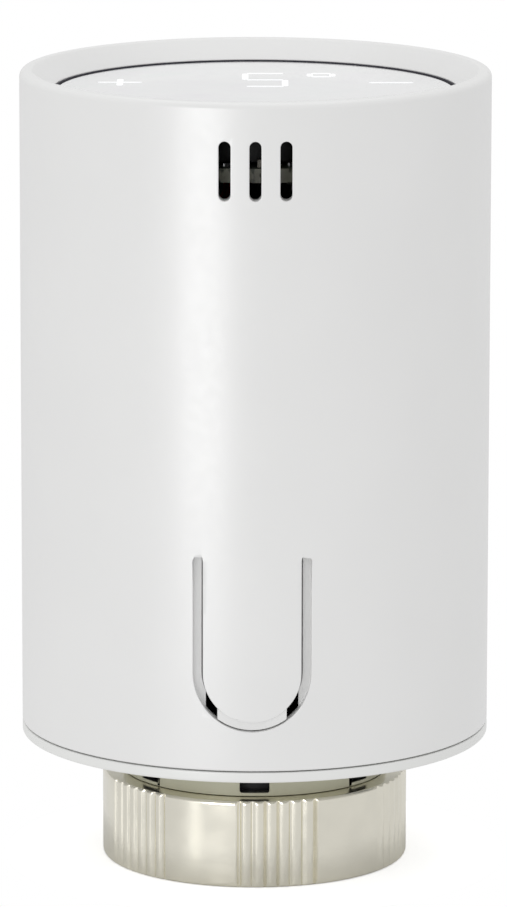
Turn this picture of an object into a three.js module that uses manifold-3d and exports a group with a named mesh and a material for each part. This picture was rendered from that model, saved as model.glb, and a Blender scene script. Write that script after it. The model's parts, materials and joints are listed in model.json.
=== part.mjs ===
// Motorised actuator head for a radiator valve.
// Millimetres, +Z up. The origin is the centre of the union nut's lower face, and the front is -Y.
// The base hangs on the nut. A screw drive in it moves a pusher down onto the valve's pin.
// An outer sleeve with a touch display slides over it all and lifts off to change the cells.
import * as THREE from "three";
import { mergeVertices } from "three/addons/utils/BufferGeometryUtils.js";
import Module from "manifold-3d";

const wasm = await Module();
wasm.setup();

// ---------------------------------------------------------------- driving dimensions

const GAP = 0.3;                 // between pieces that meet
const RUN = 0.2;                 // radial, between a shaft and what turns on it
const GRIP = 0.1;                // between a pin or a seal and what holds it
const PAST = 1;                  // how far a cutting solid runs past a face
const EMBED = 0.5;               // how far joined solids run into each other
const BLIND = 0.5;               // left whole at the end of a blind hole

// Union nut, M30 x 1.5
const NUT_R = 17.7;
const NUT_HEIGHT = 10.2;
const NUT_WEB = 1.7;             // inward flange at the top, which the base hooks into
const NUT_CHAMFER = 0.5;
const THREAD_R = 15;             // major radius
const THREAD_PITCH = 1.5;
const THREAD_DEPTH = 0.81;
const THREAD_TURNS = 4;
const THREAD_LAND = 0.2;         // plain bore below the first groove
const NUT_MOUTH = 0.3;           // widening of the bore at the nut's lower face
const NUT_LEAD = 0.9;            // depth of that widening
const NUT_UNDERCUT = 1.9;        // height of the thread's run-out
const UNDERCUT_DEPTH = 0.2;      // of the run-out, outside the major radius
const WEB_OVERLAP = 0.7;         // of the web's hole, inside the minor radius
const KNURL_GROUPS = 6;
const KNURL_RIDGES = 6;
const KNURL_PITCH_DEG = 4.86;
const KNURL_START_DEG = 8.9;     // centre of the first group, from the front
const KNURL_DEPTH = 0.45;

// Body
const BODY_R = 27;
const SLEEVE_WALL = 2;
const SLIDE = 0.4;               // between the sleeve and the frame inside it
const FRAME_WALL = 1.4;
const PARTING = 0.25;            // line between the base's edge and the sleeve
const EDGE_ROUND = 0.8;

// Base
const COLLAR_R = 15.4;
const COLLAR_WALL = 1.5;
const COLLAR_GAP = 0.35;
const COLLAR_HEIGHT = 4.05;
const COLLAR_SLOTS = 7;
const COLLAR_SLOT_WIDTH = 3.4;
const COLLAR_SILL = 0.45;        // below each slot
const COLLAR_LINTEL = 0.3;       // above each slot
const FLANGE_THICKNESS = 1.2;
const REGISTER_HEIGHT = 1.6;
const BASE_CHAMFER = 0.3;
const SNAP_WALL = 1.6;
const SNAP_HOOK = 0.75;
const SNAP_LEAD = 0.6;           // height of the hook's sloping nose
const LIP = 1;                   // rim that seats the retainer in the neck
const SNAP_SLITS = 6;
const SNAP_SLIT_WIDTH = 1.4;
const SEAT_Z = 7;                // face that rests on the valve's shoulder
const WELL_R = 6.4;              // bore for the valve's pin, and the pusher's guide
const WELL_RIM = 1.2;            // height of the well's rim under the flange
const GUIDE_WALL = 1.5;
const KEY_WIDTH = 2;
const KEY_HEIGHT = 0.7;
const KEY_INSET = 1;             // of the keys, from the pusher's ends

// Screws
const SCREW_ANGLES = [60, 180, 300];
const SCREW_INSET = 4.2;         // of the screws, from the frame's inner wall
const SHANK_R = 1.1;
const HEAD_R = 2.4;
const HEAD_HEIGHT = 1.3;
const SMALL_HEAD_HEIGHT = 1;
const GEARBOX_SCREW_R = 0.9;
const GEARBOX_HEAD_R = 1.7;
const BOARD_SCREW_ANGLES = [68, 180, 292];
const BOARD_SCREW_INSET = 1.9;
const BOARD_SHANK_R = 0.7;
const BOARD_HEAD_R = 1.5;

// Pusher and drive
const PUSHER_REST = 15.8;        // tip above the seat face, drawn right back
const PUSHER_TRAVEL = 4.5;
const PUSHER_LENGTH = 11.6;
const PUSHER_TIP = 1.5;
const NOSE_DEPTH = 1.2;          // of the pusher's chamfer, radially
const NOSE_HEIGHT = 0.8;
const SCREW_R = 3.1;
const SCREW_PITCH = 1.5;
const SCREW_DEPTH = 0.7;         // of the screw's thread
const SCREW_NECK = 0.4;          // its step below the wheel, radially and in height
const THRUST_R = 1.6;
const WASHER_R = 1.9;
const WASHER = 0.5;
const GEAR_MODULE = 0.5;
const WHEEL_TEETH = 28;
const PINION_TEETH = 11;
const WHEEL_WIDTH = 2;
const PRESSURE_DEG = 20;
const ADDENDUM = 0.85;           // in modules
const DEDENDUM = 1.25;
const TOOTH_SHARE = 0.84;        // of half the pitch, which leaves the backlash
const HUB_WALL = 0.8;
const AXLE_R = 0.75;
const MOTOR_R = 7.5;
const MOTOR_LENGTH = 22.4;
const MOTOR_Y = -13.5;
const MOTOR_EDGE = 0.8;
const MOTOR_BOSS_R = 2.9;
const SHAFT_REACH = 5.5;         // of the shaft, inside the motor
const CAP_INSET = 0.5;
const CAP_HEIGHT = 1.3;
const CAP_BOSS_R = 2.5;
const CAP_BOSS_HEIGHT = 1;
const TERMINAL = [1.6, 0.4, 1.6];
const TERMINAL_X = 5;
const LEAD_R = 0.55;
const PLATE = 1.5;               // gearbox plates
const PLATE_INSET = 2.3;         // of the plates, from the frame's inner wall
const PLATE_SETBACK = 1.9;       // of the plates, in front of the cells
const PILLAR_R = 2;
const PILLARS = [[-17.5, -1.5], [13.5, -14.5], [16.5, 0.5]];

// Cells
const CELL_R = 7.25;
const CELL_LENGTH = 50.5;        // over the terminal
const CELL_NUB_R = 2.75;
const CELL_NUB = 1;
const CELL_X = 7.6;
const CELL_Y = 13.6;
const CELL_EDGE = 0.6;
const CONTACT = 0.4;
const CONTACT_WIDTH = 8.5;
const SPRING_HEIGHT = 1.6;
const SPRING_FOOT_R = 3.5;
const SPRING_TOP_R = 1.3;
const SPRING_TURNS = 2;
const SPRING_WIRE_R = 0.3;
const SPRING_ROOM = 0.35;        // from the spring's ends to its wire's centre

// Frame
const FLOOR_RISE = 7.6;          // from the base's register to the frame's floor
const FLOOR = 1.4;
const CEILING = 1;
const CEILING_LAP = 1.2;         // how far the ceiling reaches in front of the cells
const BOSS_R = 3;
const STANDOFF_R = 1.9;
const BRACKET_R = 4.9;
const BRACKET_INSET = 1.1;
const BAY_PLAY = 0.6;
const RIB_START = 2.4;           // of the ribs beside the cells, outside each cell's axis
const POCKET_WALL = 1.5;         // of the recess behind the tab
const POCKET_DROP = 2;
const TAB_SPARE = 0.88;          // left behind the pressed tab
const WINDOW_WIDTH = 1.35;
const WINDOW_X = 4.55;
const WINDOW_HEIGHT = 4.1;
const VENT_VIEW = 4;             // depth of the notch in the frame's edge behind the vents
const VENT_VIEW_SIDE = 2;        // beside the vents

// Display stack, from the frame's ceiling up
const BOARD_RISE = 1.1;
const BOARD = 1.6;
const BOARD_INSET = 1.2;
const SHIELD_HEIGHT = 3.35;
const SHIELD_INSET = 1.8;        // of the light shield, from the lens's boss
const LENS_R = 22.9;
const LENS_THICKNESS = 1;
const LENS_EDGE = 0.25;
const LENS_BOSS = 0.8;
const LENS_LAP = 1.7;            // how far the lens's rim overhangs its boss
const GASKET_ROOM = 0.7;         // between the ledge and the lens's rim
const LEDGE = 0.9;
const RIM_DEPTH = 2.4;           // crest of the sleeve above the lens
const RIM_SLOPE_DEG = 40;
const CREST_FLAT = 0.4;
const CREST_DROP = 0.05;

// Behind the lens
const DIGIT_CENTRE = [4, 7.8];
const DIGIT_WINDOW = [14.6, 14.6];
const ICON_CENTRE = [-0.3, -6];
const ICON_WINDOW = [4.4, 4];
const SIGN_CENTRE = [15.6, 5.5]; // right-hand sign: the left-hand one mirrors it
const SIGN_WINDOW = [5.4, 5.4];
const WINDOW_PLAY = 0.5;
const SIGN_LED = [2.8, 2.2, 0.8];
const ICON_LED = [2, 1.6, 0.8];
const TOUCH_CENTRE = [13.2, -8.6];
const TOUCH_HOLE_R = 2.4;
const TOUCH_COIL_R = 1.5;
const TOUCH_TURNS = 3;
const TOUCH_WIRE_R = 0.25;
const TOUCH_ROOM = 0.35;         // from the coil's ends to its wire's centre
const HEAD_PLAY = 0.6;
const THERMISTOR = [1.6, 0.8, 0.85];
const THERMISTOR_X = 1;
const RADIO = [8, 8, 1.6];
const RADIO_CENTRE = [10.4, -11];
const CHIP = [7, 7, 0.9];
const CHIP_CENTRE = [-7, -5];

// Openings in the sleeve
const VENTS = 3;
const VENT_WIDTH = 1.33;
const VENT_PITCH = 3.43;
const VENT_HEIGHT = 6.7;
const VENT_DEPTH = 4.35;         // top of the vents below the crest
const TAB_WIDTH = 13.3;          // over the slot around the tab
const TAB_GAP = 1.1;
const TAB_HEIGHT = 20;
const TAB_RISE = 4.7;            // bottom of the slot above the sleeve's edge
const TAB_SWING_DEG = 3.5;
const TAB_X = -0.3;
const TOE_HALF = 4.2;
const TOE_TAPER = 1;
const TOE_HEIGHT = 2.4;
const TOE_INSET = 0.5;           // below the sleeve's surface
const SLEEVE_EDGE = 0.2;

// Facets round a circle, all multiples of four
const FINE = 56;
const COARSE = 32;
const SMALL = 16;
const TINY = 12;

// ---------------------------------------------------------------- derived levels and radii

const rad = THREE.MathUtils.degToRad;
const COLLAR_Z = NUT_HEIGHT + COLLAR_GAP;
const FLANGE_Z = COLLAR_Z + COLLAR_HEIGHT;
const FLANGE_TOP = FLANGE_Z + FLANGE_THICKNESS;
const REGISTER_TOP = FLANGE_TOP + REGISTER_HEIGHT;
const SLEEVE_Z = FLANGE_TOP + PARTING;
const SLEEVE_IN_R = BODY_R - SLEEVE_WALL;
const TAB_Z = SLEEVE_Z + TAB_RISE;
const TAB_TOP = TAB_Z + TAB_HEIGHT;
const TAB_R = TAB_WIDTH / 2;
const FRAME_R = SLEEVE_IN_R - SLIDE;
const FRAME_IN_R = FRAME_R - FRAME_WALL;
const FRAME_Z = FLANGE_TOP + GAP;
const REGISTER_R = FRAME_IN_R - GAP;
const SCREW_CIRCLE_R = FRAME_IN_R - SCREW_INSET;
const FLOOR_Z = REGISTER_TOP + FLOOR_RISE;
const FLOOR_TOP = FLOOR_Z + FLOOR;
const LINK_Z = FLOOR_TOP + GAP;
const LINK_TOP = LINK_Z + CONTACT;
const CELL_MINUS_DOWN_Z = LINK_TOP + SPRING_HEIGHT;
const CELL_PLUS_DOWN_Z = LINK_TOP + GAP;
const CONTACT_Z = CELL_MINUS_DOWN_Z + CELL_LENGTH + GAP;
const CEILING_Z = CONTACT_Z + CONTACT + GAP;
const CEILING_TOP = CEILING_Z + CEILING;
const BOARD_Z = CEILING_TOP + BOARD_RISE;
const BOARD_TOP = BOARD_Z + BOARD;
const BOARD_R = FRAME_IN_R - BOARD_INSET;
const BOARD_SCREW_R = BOARD_R - BOARD_SCREW_INSET;
const SHIELD_Z = BOARD_TOP + GAP;
const LENS_Z = SHIELD_Z + SHIELD_HEIGHT + GAP;
const LENS_RIM_Z = LENS_Z + LENS_BOSS;
const LENS_TOP = LENS_RIM_Z + LENS_THICKNESS;
const LENS_BOSS_R = LENS_R - LENS_LAP;
const LEDGE_R = LENS_BOSS_R + GAP;
const LEDGE_TOP = LENS_RIM_Z - GASKET_ROOM;
const CREST_Z = LENS_TOP + RIM_DEPTH;

const POCKET_HALF = TAB_R - TAB_GAP + GAP;
const POCKET_Y = SLEEVE_IN_R - TAB_HEIGHT * Math.sin(rad(TAB_SWING_DEG)) - TAB_SPARE;
const POCKET_Z = TAB_Z - POCKET_DROP;
const POCKET_TOP = TAB_TOP + POCKET_WALL;
const BAY_HALF = CELL_X + CELL_R + BAY_PLAY;

const PUSHER_Z = SEAT_Z + PUSHER_REST;
const GUIDE_R = WELL_R + GUIDE_WALL;
const GEARBOX_Z = PUSHER_Z + PUSHER_LENGTH - PLATE;
const GEARBOX_TOP = GEARBOX_Z + PLATE;
const LAYER = WHEEL_WIDTH + 2 * GAP;
const OUTPUT_Z = GEARBOX_TOP + 2 * GAP;
const SECOND_Z = OUTPUT_Z + LAYER;
const FIRST_Z = SECOND_Z + LAYER;
const COVER_Z = FIRST_Z + LAYER;
const COVER_TOP = COVER_Z + PLATE;
const MOTOR_Z = COVER_TOP + GAP;
const AXLE_Z = GEARBOX_Z + BLIND + GAP;
const AXLE_TOP = COVER_TOP - BLIND - GAP;

// Every stage has the same centre distance. The axes run from the motor round to the output wheel.
const CENTRES = GEAR_MODULE * (WHEEL_TEETH + PINION_TEETH) / 2;
const MOTOR_AXIS = new THREE.Vector2(0, MOTOR_Y);
const OUTPUT_AXIS = new THREE.Vector2(0, 0);
const FIRST_AXIS = new THREE.Vector2(-Math.sqrt(CENTRES ** 2 - (MOTOR_Y / 2) ** 2), MOTOR_Y / 2);
const SECOND_AXIS = apex(OUTPUT_AXIS, FIRST_AXIS, CENTRES);

// Apex of the isosceles triangle on a-b with the given legs, on the left of the way from a to b.
function apex(a, b, leg) {
  const middle = a.clone().add(b).multiplyScalar(0.5);
  const along = b.clone().sub(a);
  const rise = Math.sqrt(leg ** 2 - along.lengthSq() / 4);
  const across = new THREE.Vector2(-along.y, along.x).normalize();
  return middle.add(across.multiplyScalar(rise));
}

// ---------------------------------------------------------------- solid helpers

// A closed geometry as a solid that can be joined and cut.
function solid(geometry) {
  const bare = geometry.clone();
  bare.deleteAttribute("normal");
  bare.deleteAttribute("uv");
  const merged = mergeVertices(bare, 1e-5);
  const index = merged.index.array;
  const faces = [];
  for (let i = 0; i < index.length; i += 3) {
    const [a, b, c] = [index[i], index[i + 1], index[i + 2]];
    if (a !== b && b !== c && c !== a) faces.push(a, b, c);
  }
  const vertProperties = new Float32Array(merged.attributes.position.array);
  const triVerts = new Uint32Array(faces);
  return new wasm.Manifold(new wasm.Mesh({ numProp: 3, vertProperties, triVerts }));
}

function geometryOf(body) {
  const { vertProperties, triVerts } = body.getMesh();
  const indexed = new THREE.BufferGeometry();
  indexed.setAttribute("position", new THREE.BufferAttribute(vertProperties, 3));
  indexed.setIndex(new THREE.BufferAttribute(triVerts, 1));
  const flat = indexed.toNonIndexed();
  flat.computeVertexNormals();
  return flat;
}

const moved = (body, x, y, z) => body.translate([x, y, z]);

function block(width, depth, height, x, y, z) {
  return moved(solid(new THREE.BoxGeometry(width, depth, height)), x, y, z + height / 2);
}

function between([x0, y0, z0], [x1, y1, z1]) {
  return block(x1 - x0, y1 - y0, z1 - z0, (x0 + x1) / 2, (y0 + y1) / 2, z0);
}

// A solid of revolution about Z from a closed outline of [radius, z] points.
function turned(outline, segments) {
  const points = outline.map(([r, z]) => new THREE.Vector2(r, z));
  if (THREE.ShapeUtils.area(points) < 0) points.reverse();
  points.push(points[0].clone());
  const geometry = new THREE.LatheGeometry(points, segments);
  geometry.rotateX(Math.PI / 2);
  return solid(geometry);
}

function disc(radius, z0, z1, segments) {
  return turned([[0, z0], [radius, z0], [radius, z1], [0, z1]], segments);
}

function ring(inner, outer, z0, z1, segments) {
  return turned([[inner, z0], [outer, z0], [outer, z1], [inner, z1]], segments);
}

function extruded(shape, z0, z1) {
  const settings = { depth: z1 - z0, bevelEnabled: false, curveSegments: TINY };
  return moved(solid(new THREE.ExtrudeGeometry(shape, settings)), 0, 0, z0);
}

// A round wire along a curve. An arc gets two points for each of its curve segments.
function wire(curve, radius, steps, sides) {
  const section = new THREE.Shape();
  section.absarc(0, 0, radius, 0, 2 * Math.PI);
  const settings = { extrudePath: curve, steps, curveSegments: sides / 2, bevelEnabled: false };
  return solid(new THREE.ExtrudeGeometry(section, settings));
}

class Helix extends THREE.Curve {
  constructor(bottomRadius, topRadius, height, turns) {
    super();
    Object.assign(this, { bottomRadius, topRadius, height, turns });
  }

  getPoint(t, target = new THREE.Vector3()) {
    const angle = 2 * Math.PI * this.turns * t;
    const radius = THREE.MathUtils.lerp(this.bottomRadius, this.topRadius, t);
    return target.set(radius * Math.cos(angle), radius * Math.sin(angle), this.height * t);
  }
}

// The point on a circle at an angle from the front, turning towards +X.
function onCircle(radius, degrees) {
  return [radius * Math.sin(rad(degrees)), -radius * Math.cos(rad(degrees))];
}

function around(count, startDeg = 0) {
  return Array.from({ length: count }, (_, i) => startDeg + 360 * i / count);
}

// ---------------------------------------------------------------- materials

const FINISHES = {
  white_body: [0xf1f1ef, 0.42, 0],
  white_inner: [0xdfe0dc, 0.55, 0],
  neck_grey: [0xc9ccc6, 0.5, 0],
  display_lens: [0xf6f7f6, 0.12, 0],
  gasket_black: [0x1b1b20, 0.8, 0],
  black_plastic: [0x121212, 0.6, 0],
  nickel: [0xc9c4b4, 0.3, 1],
  steel: [0xb9bbbd, 0.3, 1],
  gear_plastic: [0xe9e6da, 0.45, 0],
  brass: [0xc7a556, 0.35, 1],
  cell_label: [0x3f6f4a, 0.35, 0],
  circuit_board: [0x6d7068, 0.5, 0],
  chip_black: [0x1e1f21, 0.45, 0],
  lead_red: [0xa32620, 0.5, 0],
  lead_black: [0x1a1a1a, 0.5, 0],
};

const head = new THREE.Group();

// Adds a piece under a parent, at a place in the parent's frame.
function piece(name, body, finish, parent = head, place = [0, 0, 0], turn = 0) {
  const [color, roughness, metalness] = FINISHES[finish];
  const material = new THREE.MeshStandardMaterial({ color, roughness, metalness });
  const mesh = new THREE.Mesh(geometryOf(body), material);
  mesh.name = name;
  mesh.position.set(...place);
  mesh.rotation.z = turn;
  parent.add(mesh);
  return mesh;
}

function group(x = 0, y = 0, z = 0) {
  const made = new THREE.Group();
  made.position.set(x, y, z);
  head.add(made);
  return made;
}

// ---------------------------------------------------------------- union nut

const ARC_STEPS = 4;

// Round outline with groups of V-shaped grooves that leave ridges between them.
function knurledShape() {
  const points = [];
  const step = 360 / KNURL_GROUPS;
  const half = KNURL_RIDGES * KNURL_PITCH_DEG / 2;
  for (let g = 0; g < KNURL_GROUPS; g++) {
    const centre = KNURL_START_DEG + g * step;
    for (let i = 0; i <= KNURL_RIDGES; i++) {
      const groove = centre - half + i * KNURL_PITCH_DEG;
      points.push(onCircle(NUT_R - KNURL_DEPTH, groove));
      if (i < KNURL_RIDGES) points.push(onCircle(NUT_R, groove + KNURL_PITCH_DEG / 2));
    }
    const from = centre + half + KNURL_PITCH_DEG / 4;
    const to = centre + step - half - KNURL_PITCH_DEG / 4;
    for (let i = 0; i <= ARC_STEPS; i++) {
      points.push(onCircle(NUT_R, from + (to - from) * i / ARC_STEPS));
    }
  }
  return new THREE.Shape(points.map(([x, y]) => new THREE.Vector2(x, y)));
}

const NUT_WEB_Z = NUT_HEIGHT - NUT_WEB;
const THREAD_MINOR_R = THREAD_R - THREAD_DEPTH;
const NUT_HOLE_R = THREAD_MINOR_R - WEB_OVERLAP;

function unionNut() {
  const c = NUT_CHAMFER;
  const envelope = turned([
    [0, 0], [NUT_R - c, 0], [NUT_R, c], [NUT_R, NUT_HEIGHT - c], [NUT_R - c, NUT_HEIGHT], [0, NUT_HEIGHT],
  ], FINE);
  const mouthR = THREAD_R + NUT_MOUTH;
  const undercutR = THREAD_R + UNDERCUT_DEPTH;
  const undercutZ = NUT_WEB_Z - NUT_UNDERCUT;
  const bore = [[0, -PAST], [mouthR, -PAST], [mouthR, 0], [THREAD_MINOR_R, NUT_LEAD]];
  for (let i = 0; i < THREAD_TURNS - 1; i++) {
    const z = NUT_LEAD + THREAD_LAND + i * THREAD_PITCH;
    bore.push([THREAD_MINOR_R, z], [THREAD_R, z + THREAD_PITCH / 2]);
  }
  bore.push([THREAD_MINOR_R, undercutZ], [undercutR, undercutZ], [undercutR, NUT_WEB_Z]);
  bore.push([NUT_HOLE_R, NUT_WEB_Z], [NUT_HOLE_R, NUT_HEIGHT + PAST], [0, NUT_HEIGHT + PAST]);
  const outside = extruded(knurledShape(), 0, NUT_HEIGHT).intersect(envelope);
  return outside.subtract(turned(bore, COARSE));
}

// ---------------------------------------------------------------- base

const SNAP_R = NUT_HOLE_R - GAP;

// The collar above the nut, with slots all round between its sill and its lintel.
function collar() {
  let body = ring(COLLAR_R - COLLAR_WALL, COLLAR_R, COLLAR_Z, FLANGE_Z + EMBED, COARSE);
  const height = COLLAR_HEIGHT - COLLAR_SILL - COLLAR_LINTEL;
  for (const angle of around(COLLAR_SLOTS)) {
    const [x, y] = onCircle(COLLAR_R, angle);
    const cut = block(COLLAR_SLOT_WIDTH, 3 * COLLAR_WALL, height, 0, 0, 0);
    body = body.subtract(moved(cut.rotate([0, 0, angle]), x, y, COLLAR_Z + COLLAR_SILL));
  }
  return body;
}

function baseHousing() {
  let body = turned([
    [WELL_R, FLANGE_Z - WELL_RIM], [GUIDE_R, FLANGE_Z - WELL_RIM], [GUIDE_R, FLANGE_Z],
    [BODY_R - BASE_CHAMFER, FLANGE_Z], [BODY_R, FLANGE_Z + BASE_CHAMFER], [BODY_R, FLANGE_TOP],
    [REGISTER_R, FLANGE_TOP], [REGISTER_R, REGISTER_TOP], [WELL_R, REGISTER_TOP],
  ], FINE);
  body = body.add(collar());
  for (const angle of SCREW_ANGLES) {
    const [x, y] = onCircle(SCREW_CIRCLE_R, angle);
    const sink = disc(HEAD_R + GAP, FLANGE_Z - PAST, FLANGE_Z + HEAD_HEIGHT + GAP, SMALL);
    const hole = disc(SHANK_R + GAP, FLANGE_Z, REGISTER_TOP + PAST, SMALL);
    body = body.subtract(moved(sink.add(hole), x, y, 0));
  }
  return body;
}

// The ring inside the neck: its sprung fingers hook under the nut's web, and its foot is the valve seat.
function nutRetainer() {
  const innerR = SNAP_R - SNAP_WALL;
  const hookR = SNAP_R + SNAP_HOOK;
  const hookZ = NUT_WEB_Z - GAP;
  const lipR = COLLAR_R - COLLAR_WALL - GAP;
  const top = FLANGE_Z - GAP;
  let body = turned([
    [innerR, SEAT_Z], [SNAP_R, SEAT_Z], [hookR, SEAT_Z + SNAP_LEAD], [hookR, hookZ], [SNAP_R, hookZ],
    [SNAP_R, top - LIP], [lipR, top - LIP], [lipR, top], [innerR, top],
  ], COARSE);
  for (const angle of around(SNAP_SLITS, 180 / SNAP_SLITS)) {
    const [x, y] = onCircle(SNAP_R, angle);
    const slit = block(SNAP_SLIT_WIDTH, 4 * SNAP_WALL, top - LIP - SEAT_Z, 0, 0, 0);
    body = body.subtract(moved(slit.rotate([0, 0, angle]), x, y, SEAT_Z - GAP));
  }
  return body;
}

// A pan-head screw: its head starts at z = 0 and its shank runs up to its point. The recess is a cross.
function screw(headR, headHeight, shankR, length) {
  const crownR = 0.75 * headR;
  const crownHeight = 0.4 * headHeight;
  const pointR = 0.3 * shankR;
  const end = headHeight + length;
  const body = turned([
    [0, 0], [crownR, 0], [headR, crownHeight], [headR, headHeight],
    [shankR, headHeight], [shankR, end - shankR], [pointR, end], [0, end],
  ], TINY);
  const arm = 1.1 * headR;
  const width = 0.26 * headR;
  const depth = 0.6 * headHeight + PAST;
  const cross = block(arm, width, depth, 0, 0, -PAST).add(block(width, arm, depth, 0, 0, -PAST));
  return body.subtract(cross);
}

// ---------------------------------------------------------------- inner frame

function framePlates() {
  const round = disc(FRAME_R, FRAME_Z, CEILING_TOP, FINE);
  const floor = disc(FRAME_IN_R + EMBED, FLOOR_Z, FLOOR_TOP, FINE);
  const guideHole = disc(GUIDE_R + GAP + RUN, FLOOR_Z - PAST, FLOOR_TOP + PAST, COARSE);
  const ceilingY = CELL_Y - CELL_R - CEILING_LAP;
  const ceiling = between([-BODY_R, ceilingY, CEILING_Z], [BODY_R, BODY_R, CEILING_TOP]);
  return floor.subtract(guideHole).add(ceiling.intersect(round));
}

// The recess behind the tab: the wall round it, and the room inside it with two windows for the hand.
function pocketWall() {
  const half = POCKET_HALF + POCKET_WALL;
  const back = POCKET_WALL - POCKET_Y;
  const round = disc(FRAME_R, FRAME_Z, CEILING_TOP, FINE);
  const wall = between([TAB_X - half, -BODY_R, FRAME_Z], [TAB_X + half, back, POCKET_TOP + POCKET_WALL]);
  return wall.intersect(round);
}

function pocketRoom() {
  let room = between([TAB_X - POCKET_HALF, -BODY_R, POCKET_Z], [TAB_X + POCKET_HALF, -POCKET_Y, POCKET_TOP]);
  for (const side of [-1, 1]) {
    const depth = BODY_R - POCKET_Y + POCKET_WALL + PAST;
    const window = block(WINDOW_WIDTH, depth, WINDOW_HEIGHT, 0, depth / 2 - BODY_R, TAB_Z - GRIP);
    room = room.add(window.translate([TAB_X + side * WINDOW_X, 0, 0]));
  }
  return room;
}

// A rib beside each cell that carries it in its bay.
function cradle(side) {
  const top = CEILING_Z + PAST;
  const bottom = FLOOR_TOP - PAST;
  const start = CELL_X + RIB_START;
  const end = FRAME_IN_R + EMBED;
  const ribY = CELL_Y - CELL_R - GAP;
  const rib = block(
    end - start, FRAME_WALL, CEILING_Z - FLOOR_TOP, side * (start + end) / 2, ribY, FLOOR_TOP,
  );
  const cell = moved(disc(CELL_R + GAP, bottom, top, COARSE), side * CELL_X, CELL_Y, 0);
  return rib.subtract(cell).intersect(disc(FRAME_R, bottom, top, FINE));
}

function innerFrame() {
  const round = disc(FRAME_R, FRAME_Z, CEILING_TOP, FINE);
  let body = ring(FRAME_IN_R, FRAME_R, FRAME_Z, CEILING_TOP, FINE);
  body = body.add(framePlates()).add(pocketWall());
  body = body.subtract(disc(REGISTER_R + 2 * GRIP, FRAME_Z - PAST, REGISTER_TOP + GAP, FINE));
  body = body.subtract(pocketRoom());
  for (const angle of SCREW_ANGLES) {
    const [x, y] = onCircle(SCREW_CIRCLE_R, angle);
    body = body.add(moved(disc(BOSS_R, REGISTER_TOP + GAP, FLOOR_Z + EMBED, SMALL), x, y, 0));
    body = body.subtract(moved(disc(SHANK_R + GAP, REGISTER_TOP, FLOOR_Z - BLIND, SMALL), x, y, 0));
  }
  for (const angle of BOARD_SCREW_ANGLES) {
    const [x, y] = onCircle(BOARD_SCREW_R, angle);
    const [bracketX, bracketY] = onCircle(FRAME_IN_R - BRACKET_INSET, angle);
    const bracket = disc(BRACKET_R, CEILING_Z, CEILING_TOP, SMALL);
    body = body.add(moved(bracket, bracketX, bracketY, 0).intersect(round));
    body = body.add(moved(disc(STANDOFF_R, CEILING_Z, BOARD_Z - GAP, SMALL), x, y, 0));
    body = body.subtract(moved(disc(BOARD_SHANK_R + GAP, CEILING_Z - PAST, BOARD_Z, TINY), x, y, 0));
  }
  const viewHalf = VENTS * VENT_PITCH / 2 + VENT_VIEW_SIDE;
  body = body.subtract(between(
    [-viewHalf, -BODY_R, CEILING_TOP - VENT_VIEW], [viewHalf, GAP - BOARD_R, CEILING_TOP + PAST],
  ));
  body = body.subtract(between([-BAY_HALF, CELL_Y / 2, FLOOR_TOP], [BAY_HALF, BODY_R, CEILING_Z]));
  return body.add(cradle(-1)).add(cradle(1));
}

// ---------------------------------------------------------------- gearbox

// Both plates: round at the sides, flat along the tab's recess and along the cells.
function gearboxPlate(z0, z1) {
  const radius = FRAME_IN_R - PLATE_INSET;
  const front = POCKET_WALL + GAP - POCKET_Y;
  const back = CELL_Y - CELL_R - PLATE_SETBACK;
  return between([-radius, front, z0], [radius, back, z1]).intersect(disc(radius, z0, z1, FINE));
}

function gearboxBase() {
  let body = gearboxPlate(GEARBOX_Z, GEARBOX_TOP);
  body = body.add(disc(GUIDE_R, REGISTER_TOP + GAP, GEARBOX_TOP, COARSE));
  for (const [x, y] of PILLARS) {
    body = body.add(moved(disc(PILLAR_R, FLOOR_TOP + GAP, COVER_Z - GAP, SMALL), x, y, 0));
    body = body.subtract(moved(disc(GEARBOX_SCREW_R + GAP, GEARBOX_TOP + BLIND, COVER_Z, TINY), x, y, 0));
  }
  body = body.subtract(disc(WELL_R, REGISTER_TOP, GEARBOX_TOP + PAST, COARSE));
  const keyHalf = KEY_WIDTH / 2 + GAP;
  const keyReach = WELL_R + KEY_HEIGHT;
  body = body.subtract(between(
    [-keyReach, -keyHalf, REGISTER_TOP], [keyReach, keyHalf, GEARBOX_TOP + PAST],
  ));
  for (const axis of [FIRST_AXIS, SECOND_AXIS]) {
    const hole = disc(AXLE_R + GRIP, GEARBOX_Z + BLIND, GEARBOX_TOP + PAST, TINY);
    body = body.subtract(moved(hole, axis.x, axis.y, 0));
  }
  return body;
}

function gearboxCover() {
  let body = gearboxPlate(COVER_Z, COVER_TOP);
  const bossHole = disc(MOTOR_BOSS_R + GAP, COVER_Z - PAST, COVER_TOP + PAST, SMALL);
  body = body.subtract(moved(bossHole, MOTOR_AXIS.x, MOTOR_AXIS.y, 0));
  for (const [x, y] of PILLARS) {
    const hole = disc(GEARBOX_SCREW_R + GAP, COVER_Z - PAST, COVER_TOP + PAST, TINY);
    body = body.subtract(moved(hole, x, y, 0));
  }
  for (const axis of [FIRST_AXIS, SECOND_AXIS]) {
    const hole = disc(AXLE_R + GRIP, COVER_Z - PAST, COVER_TOP - BLIND, TINY);
    body = body.subtract(moved(hole, axis.x, axis.y, 0));
  }
  return body;
}

// ---------------------------------------------------------------- gears

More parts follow.
